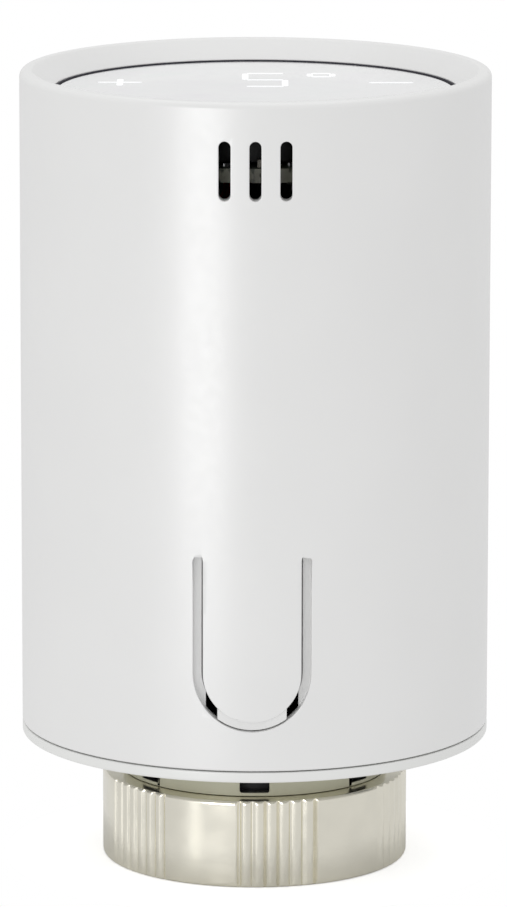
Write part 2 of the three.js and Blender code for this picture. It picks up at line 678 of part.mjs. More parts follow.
// Outline of a spur gear: straight flanks between the involute's thickness at the root and at the tip.
function gearShape(teeth, phase) {
  const pitchR = GEAR_MODULE * teeth / 2;
  const baseR = pitchR * Math.cos(rad(PRESSURE_DEG));
  const radii = [pitchR - DEDENDUM * GEAR_MODULE, pitchR + ADDENDUM * GEAR_MODULE];
  const involute = (r) => {
    const a = Math.acos(Math.min(1, baseR / r));
    return Math.tan(a) - a;
  };
  const halfAtPitch = TOOTH_SHARE * Math.PI / (2 * teeth);
  const half = (r) => halfAtPitch + involute(pitchR) - involute(r);
  const points = [];
  for (let i = 0; i < teeth; i++) {
    const middle = phase + 2 * Math.PI * i / teeth;
    for (const r of radii) points.push([r, middle - half(r)]);
    for (const r of [...radii].reverse()) points.push([r, middle + half(r)]);
  }
  return new THREE.Shape(points.map(([r, a]) => new THREE.Vector2(r * Math.cos(a), r * Math.sin(a))));
}

const bearing = (from, to) => Math.atan2(to.y - from.y, to.x - from.x);

// Phase of a gear whose tooth points at, or whose gap faces, its neighbour.
const toothAt = (angle) => angle;
const gapAt = (angle, teeth) => angle + Math.PI / teeth;

// A wheel with its pinion below it, both turning on a fixed axle. z = 0 is the pinion's lower face.
function compoundGear(pinionPhase, wheelPhase) {
  const top = LAYER + WHEEL_WIDTH;
  let body = extruded(gearShape(PINION_TEETH, pinionPhase), 0, LAYER + EMBED);
  body = body.add(extruded(gearShape(WHEEL_TEETH, wheelPhase), LAYER, top));
  body = body.add(disc(AXLE_R + RUN + HUB_WALL, 0, top + GAP, SMALL));
  return body.subtract(disc(AXLE_R + RUN, -PAST, top + PAST, TINY));
}

// The output wheel carries the screw below it and a thrust stub above it. z = 0 is its lower face.
function outputWheel() {
  const length = OUTPUT_Z - (PUSHER_Z + PUSHER_TIP + GAP);
  const phase = gapAt(bearing(OUTPUT_AXIS, SECOND_AXIS), WHEEL_TEETH);
  const neckR = SCREW_R - SCREW_NECK;
  const rootR = SCREW_R - SCREW_DEPTH;
  const outline = [[0, WHEEL_WIDTH], [neckR, WHEEL_WIDTH], [neckR, 0]];
  const turns = Math.floor((length - SCREW_NECK) / SCREW_PITCH - 0.5);
  for (let i = 0; i < turns; i++) {
    const z = -SCREW_NECK - i * SCREW_PITCH;
    outline.push([rootR, z], [SCREW_R, z - SCREW_PITCH / 2]);
  }
  outline.push([rootR, -SCREW_NECK - turns * SCREW_PITCH], [rootR, -length], [0, -length]);
  const stubTop = COVER_Z - OUTPUT_Z - WASHER - 2 * GAP;
  return turned(outline, SMALL)
    .add(extruded(gearShape(WHEEL_TEETH, phase), 0, WHEEL_WIDTH))
    .add(disc(THRUST_R, 0, stubTop, SMALL));
}

function pusher() {
  const boreR = SCREW_R + RUN;
  const outerR = WELL_R - RUN;
  const body = turned([
    [0, 0], [outerR - NOSE_DEPTH, 0], [outerR, NOSE_HEIGHT], [outerR, PUSHER_LENGTH],
    [boreR, PUSHER_LENGTH], [boreR, PUSHER_TIP], [0, PUSHER_TIP],
  ], COARSE);
  const keyReach = outerR + KEY_HEIGHT;
  const keys = block(2 * keyReach, KEY_WIDTH, PUSHER_LENGTH - 2 * KEY_INSET, 0, 0, KEY_INSET);
  return body.add(keys.subtract(disc(boreR + EMBED, 0, PUSHER_LENGTH, SMALL)));
}

// ---------------------------------------------------------------- motor

function motorCan() {
  const body = turned([
    [0, 0], [MOTOR_R - MOTOR_EDGE, 0], [MOTOR_R, MOTOR_EDGE], [MOTOR_R, MOTOR_LENGTH], [0, MOTOR_LENGTH],
  ], COARSE);
  const boss = disc(MOTOR_BOSS_R, -PLATE, EMBED, SMALL);
  return body.add(boss).subtract(disc(AXLE_R + RUN, -PLATE - PAST, SHAFT_REACH + BLIND, TINY));
}

function motorCap() {
  const capR = MOTOR_R - CAP_INSET;
  const top = CAP_HEIGHT + CAP_BOSS_HEIGHT;
  return turned([
    [0, 0], [capR, 0], [capR, CAP_HEIGHT], [CAP_BOSS_R, CAP_HEIGHT], [CAP_BOSS_R, top], [0, top],
  ], COARSE);
}

// ---------------------------------------------------------------- cells and contacts

function cell() {
  const shoulder = CELL_LENGTH - CELL_NUB;
  const endR = CELL_R - CELL_EDGE;
  return turned([
    [0, 0], [endR, 0], [CELL_R, CELL_EDGE], [CELL_R, shoulder - CELL_EDGE], [endR, shoulder],
    [CELL_NUB_R, shoulder], [CELL_NUB_R, CELL_LENGTH], [0, CELL_LENGTH],
  ], COARSE);
}

// A conical spring pressed nearly flat, so that its turns lie inside each other.
function contactSpring() {
  const height = SPRING_HEIGHT - 2 * GAP - 2 * SPRING_ROOM;
  const helix = new Helix(SPRING_FOOT_R, SPRING_TOP_R, height, SPRING_TURNS);
  return wire(helix, SPRING_WIRE_R, 2 * SMALL, 4).translate([0, 0, SPRING_ROOM]);
}

// ---------------------------------------------------------------- display

function displayBoard() {
  let body = disc(BOARD_R, BOARD_Z, BOARD_TOP, FINE);
  for (const angle of BOARD_SCREW_ANGLES) {
    const [x, y] = onCircle(BOARD_SCREW_R, angle);
    const hole = disc(BOARD_SHANK_R + GAP, BOARD_Z - PAST, BOARD_TOP + PAST, TINY);
    body = body.subtract(moved(hole, x, y, 0));
  }
  return body;
}

// The block between the board and the lens keeps each lamp's light in its own window.
function lightShield() {
  const top = SHIELD_Z + SHIELD_HEIGHT;
  const cut = ([width, depth], x, y) => block(width, depth, SHIELD_HEIGHT + 2, x, y, SHIELD_Z - PAST);
  const bore = (radius, x, y) => moved(disc(radius, SHIELD_Z - PAST, top + PAST, SMALL), x, y, 0);
  let body = disc(LENS_BOSS_R - SHIELD_INSET, SHIELD_Z, top, COARSE);
  body = body.subtract(cut(DIGIT_WINDOW, ...DIGIT_CENTRE)).subtract(cut(ICON_WINDOW, ...ICON_CENTRE));
  for (const side of [-1, 1]) {
    body = body.subtract(cut(SIGN_WINDOW, side * SIGN_CENTRE[0], SIGN_CENTRE[1]));
    body = body.subtract(bore(TOUCH_HOLE_R, side * TOUCH_CENTRE[0], TOUCH_CENTRE[1]));
  }
  for (const angle of BOARD_SCREW_ANGLES) {
    body = body.subtract(bore(BOARD_HEAD_R + HEAD_PLAY, ...onCircle(BOARD_SCREW_R, angle)));
  }
  return body;
}

function displayLens() {
  return turned([
    [0, LENS_Z], [LENS_BOSS_R, LENS_Z], [LENS_BOSS_R, LENS_RIM_Z], [LENS_R, LENS_RIM_Z],
    [LENS_R, LENS_TOP - LENS_EDGE], [LENS_R - LENS_EDGE, LENS_TOP], [0, LENS_TOP],
  ], FINE);
}

function lensGasket() {
  return ring(LEDGE_R, LENS_R, LEDGE_TOP + GRIP, LENS_RIM_Z - GRIP, COARSE);
}

function touchSpring() {
  const helix = new Helix(TOUCH_COIL_R, TOUCH_COIL_R, SHIELD_HEIGHT - 2 * TOUCH_ROOM, TOUCH_TURNS);
  return wire(helix, TOUCH_WIRE_R, 2 * SMALL, 4).translate([0, 0, TOUCH_ROOM]);
}

// ---------------------------------------------------------------- sleeve and release tab

// The U-shaped outline of the tab's slot, moved in by an inset, seen from the front.
function tabShape(inset, top) {
  const r = TAB_R - inset;
  const centreZ = TAB_Z + TAB_R;
  const shape = new THREE.Shape();
  shape.moveTo(r, top);
  shape.lineTo(-r, top);
  shape.lineTo(-r, centreZ);
  shape.absarc(0, centreZ, r, Math.PI, 2 * Math.PI);
  shape.closePath();
  return shape;
}

// A solid that stands on the outline along Y, from the axis out through the front.
function frontPrism(shape, x) {
  return extruded(shape, 0, 2 * BODY_R).rotate([90, 0, 0]).translate([x, 0, 0]);
}

function sleeveShell() {
  const slope = Math.tan(rad(RIM_SLOPE_DEG));
  const crestR = BODY_R - EDGE_ROUND;
  const rimR = crestR - CREST_FLAT;
  const mouthR = LENS_R + GAP;
  const mouthZ = CREST_Z - (rimR - mouthR) * slope;
  const turn = (deg) => [
    crestR + EDGE_ROUND * Math.cos(rad(deg)), CREST_Z - EDGE_ROUND + EDGE_ROUND * Math.sin(rad(deg)),
  ];
  return turned([
    [SLEEVE_IN_R, SLEEVE_Z], [BODY_R - SLEEVE_EDGE, SLEEVE_Z], [BODY_R, SLEEVE_Z + SLEEVE_EDGE],
    turn(0), turn(45), turn(90), [rimR, CREST_Z - CREST_DROP],
    [mouthR, mouthZ], [mouthR, LEDGE_TOP], [LEDGE_R, LEDGE_TOP], [LEDGE_R, LEDGE_TOP - LEDGE],
    [SLEEVE_IN_R, LEDGE_TOP - LEDGE],
  ], FINE);
}

// A slot with round ends, seen from the front.
function ventShape() {
  const r = VENT_WIDTH / 2;
  const top = CREST_Z - VENT_DEPTH - r;
  const bottom = top - VENT_HEIGHT + VENT_WIDTH;
  const shape = new THREE.Shape();
  shape.absarc(0, bottom, r, Math.PI, 2 * Math.PI);
  shape.absarc(0, top, r, 0, Math.PI);
  shape.closePath();
  return shape;
}

function outerSleeve() {
  let body = sleeveShell();
  for (let i = 0; i < VENTS; i++) {
    body = body.subtract(frontPrism(ventShape(), (i - (VENTS - 1) / 2) * VENT_PITCH));
  }
  return body.subtract(frontPrism(tabShape(0, TAB_TOP), TAB_X));
}

// The pressing tab: a tongue of the sleeve with a short recessed toe that fills the slot's bottom.
function releaseTab() {
  const wall = ring(SLEEVE_IN_R, BODY_R, TAB_Z, TAB_TOP, FINE);
  const tongue = wall.intersect(frontPrism(tabShape(TAB_GAP, TAB_TOP - GAP), TAB_X));
  const toeWall = ring(SLEEVE_IN_R, BODY_R - TOE_INSET, TAB_Z, TAB_Z + TOE_HEIGHT + PAST, FINE);
  const r = TAB_R - GAP;
  const sweep = Math.asin(TOE_HALF / r);
  const toeShape = new THREE.Shape();
  toeShape.absarc(0, TAB_Z + TAB_R, r, -Math.PI / 2 - sweep, -Math.PI / 2 + sweep);
  toeShape.lineTo(TOE_HALF - TOE_TAPER, TAB_Z + TOE_HEIGHT);
  toeShape.lineTo(TOE_TAPER - TOE_HALF, TAB_Z + TOE_HEIGHT);
  toeShape.closePath();
  return tongue.add(toeWall.intersect(frontPrism(toeShape, TAB_X)));
}

// ---------------------------------------------------------------- assembly

piece("union_nut", unionNut(), "nickel");

piece("base_housing", baseHousing(), "neck_grey");
piece("nut_retainer", nutRetainer(), "black_plastic");
piece("inner_frame", innerFrame(), "white_inner");
piece("gearbox_base", gearboxBase(), "black_plastic");
piece("gearbox_cover", gearboxCover(), "black_plastic");

// Each screw ends just short of the end of its blind hole. Their recesses are turned at random.
SCREW_ANGLES.forEach((angle, i) => {
  const [x, y] = onCircle(SCREW_CIRCLE_R, angle);
  const length = FLOOR_Z - 2 * BLIND - FLANGE_Z - HEAD_HEIGHT;
  const body = screw(HEAD_R, HEAD_HEIGHT, SHANK_R, length);
  piece(`frame_screw_${i + 1}`, body, "steel", head, [x, y, FLANGE_Z], rad(20 + 35 * i));
});
PILLARS.forEach(([x, y], i) => {
  const under = COVER_TOP + GAP;
  const length = under - GEARBOX_TOP - 2 * BLIND;
  const body = screw(GEARBOX_HEAD_R, SMALL_HEAD_HEIGHT, GEARBOX_SCREW_R, length).rotate([180, 0, 0]);
  piece(`gearbox_screw_${i + 1}`, body, "steel", head, [x, y, under + SMALL_HEAD_HEIGHT], rad(50 * i));
});
BOARD_SCREW_ANGLES.forEach((angle, i) => {
  const [x, y] = onCircle(BOARD_SCREW_R, angle);
  const under = BOARD_TOP + GAP;
  const length = under - CEILING_Z - GAP;
  const body = screw(BOARD_HEAD_R, SMALL_HEAD_HEIGHT, BOARD_SHANK_R, length).rotate([180, 0, 0]);
  piece(`board_screw_${i + 1}`, body, "steel", head, [x, y, under + SMALL_HEAD_HEIGHT], rad(25 * i));
});

const firstTurn = group(FIRST_AXIS.x, FIRST_AXIS.y, SECOND_Z);
const secondTurn = group(SECOND_AXIS.x, SECOND_AXIS.y, OUTPUT_Z);
const outputTurn = group(OUTPUT_AXIS.x, OUTPUT_AXIS.y, OUTPUT_Z);
const motorTurn = group(MOTOR_AXIS.x, MOTOR_AXIS.y, FIRST_Z);

piece("output_wheel", outputWheel(), "gear_plastic", outputTurn);
piece("second_gear", compoundGear(
  toothAt(bearing(SECOND_AXIS, OUTPUT_AXIS)),
  gapAt(bearing(SECOND_AXIS, FIRST_AXIS), WHEEL_TEETH),
), "gear_plastic", secondTurn);
piece("first_gear", compoundGear(
  toothAt(bearing(FIRST_AXIS, SECOND_AXIS)),
  gapAt(bearing(FIRST_AXIS, MOTOR_AXIS), WHEEL_TEETH),
), "gear_plastic", firstTurn);

const axle = disc(AXLE_R, AXLE_Z, AXLE_TOP, TINY);
piece("first_axle", axle, "steel", head, [FIRST_AXIS.x, FIRST_AXIS.y, 0]);
piece("second_axle", axle, "steel", head, [SECOND_AXIS.x, SECOND_AXIS.y, 0]);
piece("thrust_washer", disc(WASHER_R, 0, WASHER, SMALL), "steel", head, [0, 0, COVER_Z - WASHER - GAP]);

const pinionPhase = toothAt(bearing(MOTOR_AXIS, FIRST_AXIS));
const pinionTop = WHEEL_WIDTH + GAP;
const motorPinion = extruded(gearShape(PINION_TEETH, pinionPhase), 0, pinionTop)
  .subtract(disc(AXLE_R + GRIP, -PAST, pinionTop + PAST, TINY));
piece("motor_pinion", motorPinion, "brass", motorTurn);
piece("motor_shaft", disc(AXLE_R, 0, MOTOR_Z + SHAFT_REACH - FIRST_Z, TINY), "steel", motorTurn);

piece("pusher", pusher(), "gear_plastic", head, [0, 0, PUSHER_Z]);

const motor = group(MOTOR_AXIS.x, MOTOR_AXIS.y, MOTOR_Z);
const capZ = MOTOR_LENGTH + GAP;
const terminalZ = capZ + CAP_HEIGHT + GAP;
piece("motor_can", motorCan(), "steel", motor);
piece("motor_end_cap", motorCap(), "black_plastic", motor, [0, 0, capZ]);

// Each lead runs from its terminal up to the board: x on its own side, y, and the share of its rise.
const LEAD_ROUTE = [[TERMINAL_X, 0, 0], [5.2, 0.2, 0.25], [4.4, 1.6, 0.55], [3.2, 3, 0.8], [3, 3.2, 1]];
const LEADS = [["left", -1, "lead_red"], ["right", 1, "lead_black"]];
for (const [name, side, finish] of LEADS) {
  const terminal = block(...TERMINAL, side * TERMINAL_X, 0, terminalZ);
  piece(`motor_terminal_${name}`, terminal, "brass", motor);
  const start = terminalZ + TERMINAL[2] + GAP;
  const rise = BOARD_Z - GAP - MOTOR_Z - start;
  const points = LEAD_ROUTE.map(([x, y, share]) => new THREE.Vector3(side * x, y, start + rise * share));
  piece(`motor_lead_${name}`, wire(new THREE.CatmullRomCurve3(points), LEAD_R, TINY, 6), finish, motor);
}

piece("battery_left", cell(), "cell_label", head, [-CELL_X, CELL_Y, CELL_MINUS_DOWN_Z]);
const upended = cell().rotate([180, 0, 0]);
piece("battery_right", upended, "cell_label", head, [CELL_X, CELL_Y, CELL_PLUS_DOWN_Z + CELL_LENGTH]);
const link = block(2 * CELL_X + CONTACT_WIDTH, CONTACT_WIDTH, CONTACT, 0, CELL_Y, LINK_Z);
piece("lower_contact_link", link, "nickel");
piece("lower_contact_spring", contactSpring(), "nickel", head, [-CELL_X, CELL_Y, LINK_TOP + GAP]);
const upperPlate = block(CONTACT_WIDTH, CONTACT_WIDTH, CONTACT, 0, 0, 0);
piece("upper_contact_left", upperPlate, "nickel", head, [-CELL_X, CELL_Y, CONTACT_Z]);
piece("upper_contact_right", upperPlate, "nickel", head, [CELL_X, CELL_Y, CONTACT_Z]);
const upperSpring = contactSpring().rotate([180, 0, 0]);
piece("upper_contact_spring", upperSpring, "nickel", head, [CELL_X, CELL_Y, CONTACT_Z - GAP]);

piece("display_board", displayBoard(), "circuit_board");
piece("light_shield", lightShield(), "black_plastic");
const digitModule = block(
  DIGIT_WINDOW[0] - 2 * WINDOW_PLAY, DIGIT_WINDOW[1] - 2 * WINDOW_PLAY, SHIELD_HEIGHT - 2 * GAP, 0, 0, 0,
);
piece("digit_module", digitModule, "white_inner", head, [...DIGIT_CENTRE, SHIELD_Z]);
piece("icon_led", block(...ICON_LED, 0, 0, 0), "white_inner", head, [...ICON_CENTRE, SHIELD_Z]);
for (const [name, side] of [["plus", -1], ["minus", 1]]) {
  const ledPlace = [side * SIGN_CENTRE[0], SIGN_CENTRE[1], SHIELD_Z];
  piece(`${name}_led`, block(...SIGN_LED, 0, 0, 0), "white_inner", head, ledPlace);
  const springPlace = [side * TOUCH_CENTRE[0], TOUCH_CENTRE[1], SHIELD_Z];
  piece(`${name}_touch_spring`, touchSpring(), "nickel", head, springPlace);
}
const thermistorY = THERMISTOR[1] - GAP / 2 - BOARD_R;
piece("thermistor", block(...THERMISTOR, THERMISTOR_X, thermistorY, BOARD_TOP + GRIP), "chip_black");
piece("radio_module", block(...RADIO, ...RADIO_CENTRE, BOARD_Z - RADIO[2] - GAP), "steel");
piece("controller_chip", block(...CHIP, ...CHIP_CENTRE, BOARD_Z - CHIP[2] - GAP), "chip_black");

const sleeve = group();
piece("outer_sleeve", outerSleeve(), "white_body", sleeve);
piece("display_lens", displayLens(), "display_lens", sleeve);
piece("lens_gasket", lensGasket(), "gasket_black", sleeve);
piece("release_tab", releaseTab(), "white_body", sleeve);

export default head;
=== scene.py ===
"""Motorised head for a radiator valve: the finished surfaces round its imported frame.

Lengths are in metres, in the frame's own axes: +Z up from the union nut's lower face, and -Y the
front, where the vents and the release tab are.
"""

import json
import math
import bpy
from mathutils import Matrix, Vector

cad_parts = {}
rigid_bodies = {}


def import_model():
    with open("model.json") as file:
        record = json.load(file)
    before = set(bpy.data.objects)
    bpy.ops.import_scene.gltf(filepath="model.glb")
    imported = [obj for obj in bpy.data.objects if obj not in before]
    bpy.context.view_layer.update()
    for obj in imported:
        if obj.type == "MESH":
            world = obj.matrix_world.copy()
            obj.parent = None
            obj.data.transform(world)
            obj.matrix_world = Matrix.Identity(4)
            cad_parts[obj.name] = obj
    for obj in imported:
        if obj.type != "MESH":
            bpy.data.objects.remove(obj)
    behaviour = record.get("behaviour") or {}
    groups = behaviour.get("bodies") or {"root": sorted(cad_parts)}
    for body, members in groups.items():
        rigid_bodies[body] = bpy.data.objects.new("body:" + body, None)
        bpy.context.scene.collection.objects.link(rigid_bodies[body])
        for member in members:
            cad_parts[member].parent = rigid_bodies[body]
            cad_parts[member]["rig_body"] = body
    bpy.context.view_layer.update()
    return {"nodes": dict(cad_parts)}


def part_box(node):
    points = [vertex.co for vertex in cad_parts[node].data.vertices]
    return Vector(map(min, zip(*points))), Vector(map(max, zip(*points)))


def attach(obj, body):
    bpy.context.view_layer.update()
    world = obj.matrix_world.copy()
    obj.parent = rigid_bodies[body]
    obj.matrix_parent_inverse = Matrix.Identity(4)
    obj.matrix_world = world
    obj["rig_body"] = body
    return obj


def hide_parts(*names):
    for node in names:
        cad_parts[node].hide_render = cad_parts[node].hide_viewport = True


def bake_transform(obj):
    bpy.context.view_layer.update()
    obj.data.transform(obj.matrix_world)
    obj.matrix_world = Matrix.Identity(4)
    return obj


bl_info = {
    "name": "Motorised valve head",
    "version": (1, 0, 0),
    "blender": (4, 5, 0),
    "location": "3D View > Sidebar > Valve head",
    "description": "Builds the finished surfaces of a motorised radiator valve head round its frame",
    "category": "Object",
}

import bmesh
import bpy
from bpy.props import FloatProperty, FloatVectorProperty, IntProperty, PointerProperty
from mathutils import Matrix, Vector

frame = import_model()

MM = 0.001
TURN = 2 * math.pi
GAP = 0.3 * MM                 # between pieces that meet
PARTING = 0.14 * MM            # line between the flange and the sleeve
FLANGE_THICKNESS = 1.2 * MM
SLEEVE_WALL = 2 * MM
SLOT_DROP = 0.15 * MM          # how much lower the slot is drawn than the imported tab's gap

# ---------------------------------------------------------------- sizes read from the frame


def low(node):
    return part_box(node)[0]


def high(node):
    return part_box(node)[1]


NUT_R = high("union_nut").y
NUT_TOP = high("union_nut").z
BODY_R = high("outer_sleeve").y
SLEEVE_Z = low("outer_sleeve").z
CREST_Z = high("outer_sleeve").z
COLLAR_Z = low("base_housing").z
FLANGE_TOP = SLEEVE_Z - PARTING
FLANGE_Z = FLANGE_TOP - FLANGE_THICKNESS
REGISTER_TOP = high("base_housing").z
LENS_R = high("display_lens").y
LENS_Z = low("display_lens").z
LENS_TOP = high("display_lens").z
TAB_Z = low("release_tab").z - GAP - SLOT_DROP
TAB_TOP = high("release_tab").z + GAP - SLOT_DROP
TAB_X = (low("release_tab").x + high("release_tab").x) / 2
SLEEVE_IN_R = BODY_R - SLEEVE_WALL


# ---------------------------------------------------------------- properties


class ShellSizes(bpy.types.PropertyGroup):
    """Sizes and colour of the outer sleeve."""

    edge: FloatProperty(
        name="Edge", description="Width of the rounded edges of the openings",
        default=0.1 * MM, unit="LENGTH", subtype="DISTANCE",
    )
    crest: FloatProperty(
        name="Crest", description="Radius of the rounded crest",
        default=0.8 * MM, unit="LENGTH", subtype="DISTANCE",
    )
    rim_slope: FloatProperty(
        name="Rim slope", description="Fall of the rim towards the lens",
        default=math.radians(40), unit="ROTATION", subtype="ANGLE",
    )
    vent_width: FloatProperty(
        name="Vent width", description="Width of each vent",
        default=1.33 * MM, unit="LENGTH", subtype="DISTANCE",
    )
    vent_pitch: FloatProperty(
        name="Vent pitch", description="Distance between the vents",
        default=3.43 * MM, unit="LENGTH", subtype="DISTANCE",
    )
    vent_height: FloatProperty(
        name="Vent height", description="Height of each vent",
        default=6.7 * MM, unit="LENGTH", subtype="DISTANCE",
    )
    vent_drop: FloatProperty(
        name="Vent drop", description="From the crest down to the top of the vents",
        default=4.35 * MM, unit="LENGTH", subtype="DISTANCE",
    )
    slot_radius: FloatProperty(
        name="Slot radius", description="Outer radius of the slot round the tab",
        default=6.65 * MM, unit="LENGTH", subtype="DISTANCE",
    )
    slot_width: FloatProperty(
        name="Slot width", description="Width of the slot round the tab",
        default=1.1 * MM, unit="LENGTH", subtype="DISTANCE",
    )
    toe_half: FloatProperty(
        name="Toe half width", description="Half the width of the tab's toe",
        default=3.9 * MM, unit="LENGTH", subtype="DISTANCE",
    )
    window_half: FloatProperty(
        name="Window reach", description="Outer edge of each window beside the toe, from the tab's middle",
        default=5.2 * MM, unit="LENGTH", subtype="DISTANCE",
    )
    line: FloatProperty(
        name="Line", description="Gap that goes right through beside the tongue",
        default=0.12 * MM, unit="LENGTH", subtype="DISTANCE",
    )
    channel_depth: FloatProperty(
        name="Channel depth", description="Depth of the channel beside the tongue",
        default=1.3 * MM, unit="LENGTH", subtype="DISTANCE",
    )
    toe_depth: FloatProperty(
        name="Toe depth", description="How far the toe lies back from the sleeve's surface",
        default=0.45 * MM, unit="LENGTH", subtype="DISTANCE",
    )
    toe_gap: FloatProperty(
        name="Toe gap", description="Gap under the toe",
        default=0.14 * MM, unit="LENGTH", subtype="DISTANCE",
    )
    colour: FloatVectorProperty(
        name="Colour", description="Colour of the white moulding",
        default=(0.86, 0.86, 0.855), size=3, subtype="COLOR", min=0, max=1,
    )


class NutSizes(bpy.types.PropertyGroup):
    """Sizes and colour of the union nut."""

    ridges: IntProperty(name="Ridges", description="Ridges in each group of the knurl", default=6, min=1)
    groups: IntProperty(name="Groups", description="Groups of ridges", default=6, min=1)
    pitch: FloatProperty(
        name="Ridge pitch", description="Angle between ridges",
        default=math.radians(4.86), unit="ROTATION", subtype="ANGLE",
    )
    start: FloatProperty(
        name="First group", description="Angle of the first group's middle from the front",
        default=math.radians(8.9), unit="ROTATION", subtype="ANGLE",
    )
    depth: FloatProperty(
        name="Groove depth", description="Depth of the grooves between the ridges",
        default=0.45 * MM, unit="LENGTH", subtype="DISTANCE",
    )
    thread_pitch: FloatProperty(
        name="Thread pitch", description="Pitch of the thread inside",
        default=1.5 * MM, unit="LENGTH", subtype="DISTANCE",
    )
    thread_radius: FloatProperty(
        name="Thread radius", description="Major radius of the thread",
        default=15 * MM, unit="LENGTH", subtype="DISTANCE",
    )
    thread_depth: FloatProperty(
        name="Thread depth", description="Depth of the thread",
        default=0.81 * MM, unit="LENGTH", subtype="DISTANCE",
    )
    colour: FloatVectorProperty(
        name="Colour", description="Colour of the nickel plate",
        default=(0.88, 0.85, 0.745), size=3, subtype="COLOR", min=0, max=1,
    )


class StageSizes(bpy.types.PropertyGroup):
    """The camera, the lamps and the floor."""

    distance: FloatProperty(
        name="Camera distance", description="From the camera to the middle of the head",
        default=0.78, unit="LENGTH", subtype="DISTANCE",
    )
    pitch: FloatProperty(
        name="Camera pitch", description="How far the camera looks down",
        default=math.radians(11.39), unit="ROTATION", subtype="ANGLE",
    )
    roll: FloatProperty(
        name="Camera roll", description="Turn of the camera about its own axis",
        default=math.radians(0.077), unit="ROTATION", subtype="ANGLE",
    )
    lens: FloatProperty(
        name="Lens", description="Focal length in millimetres", default=267.9, unit="CAMERA",
    )
    ambient: FloatProperty(
        name="Ambient", description="Strength of the light from all round",
        default=0.76, min=0, subtype="FACTOR",
    )
    floor: FloatVectorProperty(
        name="Floor", description="Colour of the floor",
        default=(0.86, 0.86, 0.86), size=3, subtype="COLOR", min=0, max=1,
    )


# ---------------------------------------------------------------- mesh tools


def spot(centre, radius, degrees):
    """The point of a circle in a plane at an angle."""
    angle = math.radians(degrees)
    return (centre[0] + radius * math.cos(angle), centre[1] + radius * math.sin(angle))


def arc(centre, radius, start, end, steps):
    """Points on an arc in a plane, from one angle to another in degrees, both ends included."""
    return [spot(centre, radius, start + (end - start) * i / steps) for i in range(steps + 1)]


def lathe(outline, steps=192, centre=(0, 0), closed=True):
    """A bmesh turned about Z from an outline of (radius, z) points, closed on itself or on the axis."""
    bm = bmesh.new()
    verts = [bm.verts.new((r, 0, z)) for r, z in outline]
    edges = [bm.edges.new(pair) for pair in zip(verts, verts[1:])]
    if closed:
        edges.append(bm.edges.new((verts[-1], verts[0])))
    bmesh.ops.spin(
        bm, geom=verts + edges, cent=(0, 0, 0), axis=(0, 0, 1), angle=TURN, steps=steps, use_merge=True,
    )
    bmesh.ops.remove_doubles(bm, verts=bm.verts, dist=1e-7)
    bmesh.ops.recalc_face_normals(bm, faces=bm.faces)
    bmesh.ops.translate(bm, verts=bm.verts, vec=(*centre, 0))
    return bm


def slab(outline, along, start, end):
    """A bmesh extruded from a flat outline of points, (x, z) along "y" and (x, y) along "z"."""
    bm = bmesh.new()
    if along == "y":
        verts = [bm.verts.new((a, start, b)) for a, b in outline]
        move = (0, end - start, 0)
    else:
        verts = [bm.verts.new((a, b, start)) for a, b in outline]
        move = (0, 0, end - start)
    face = bm.faces.new(verts)
    made = bmesh.ops.extrude_face_region(bm, geom=[face])
    top = [v for v in made["geom"] if isinstance(v, bmesh.types.BMVert)]
    bmesh.ops.translate(bm, verts=top, vec=move)
    bmesh.ops.recalc_face_normals(bm, faces=bm.faces)
    return bm


def box(corner_a, corner_b):
    """A bmesh of a box between two corners."""
    bm = bmesh.new()
    a, b = Vector(corner_a), Vector(corner_b)
    bmesh.ops.create_cube(bm, size=1)
    bmesh.ops.scale(bm, verts=bm.verts, vec=b - a)
    bmesh.ops.translate(bm, verts=bm.verts, vec=(a + b) / 2)
    return bm


def gather(parts):
    """Several bmeshes as one."""
    whole = bmesh.new()
    for part in parts:
        mesh = bpy.data.meshes.new("part")
        part.to_mesh(mesh)
        part.free()
        whole.from_mesh(mesh)
        bpy.data.meshes.remove(mesh)
    return whole


def make(name, bm, material=None):
    """A bmesh as an object in the scene."""
    mesh = bpy.data.meshes.new(name)
    bm.to_mesh(mesh)
    bm.free()
    obj = bpy.data.objects.new(name, mesh)
    bpy.context.scene.collection.objects.link(obj)
    if material:
        mesh.materials.append(material)
    return obj


def apply_modifiers(obj):
    """Bakes the modifiers of an object into its mesh."""
    depsgraph = bpy.context.evaluated_depsgraph_get()
    mesh = bpy.data.meshes.new_from_object(obj.evaluated_get(depsgraph))
    obj.modifiers.clear()
    old = obj.data
    name = old.name
    obj.data = mesh
    bpy.data.meshes.remove(old)
    mesh.name = name
    return obj


def cut(obj, cutter, operation="DIFFERENCE"):
    """Joins or cuts an object with a bmesh."""
    tool = make("cutter", cutter)
    modifier = obj.modifiers.new("cut", "BOOLEAN")
    modifier.operation = operation
    modifier.solver = "EXACT"
    modifier.object = tool
    apply_modifiers(obj)
    mesh = tool.data
    bpy.data.objects.remove(tool)
    bpy.data.meshes.remove(mesh)
    return obj


def soften(obj, width, angle=40, segments=2, clamp=False):
    """Rounds the sharp edges of an object and shades it smooth across its small steps."""
    if width:
        bevel = obj.modifiers.new("bevel", "BEVEL")
        bevel.width = width
        bevel.segments = segments
        bevel.limit_method = "ANGLE"
        bevel.angle_limit = math.radians(angle)
        bevel.use_clamp_overlap = clamp
        bevel.miter_outer = "MITER_ARC"
        apply_modifiers(obj)
    return smooth(obj, angle)


def smooth(obj, angle=40):
    """Smooth shading with hard edges past an angle, and normals that follow the large faces."""
    bm = bmesh.new()
    bm.from_mesh(obj.data)
    limit = math.radians(angle)
    for face in bm.faces:
        face.smooth = True
    for edge in bm.edges:
        edge.smooth = len(edge.link_faces) == 2 and edge.calc_face_angle(0) < limit
    bm.to_mesh(obj.data)
    bm.free()
    weighted = obj.modifiers.new("weighted", "WEIGHTED_NORMAL")
    weighted.keep_sharp = True
    apply_modifiers(obj)
    return obj


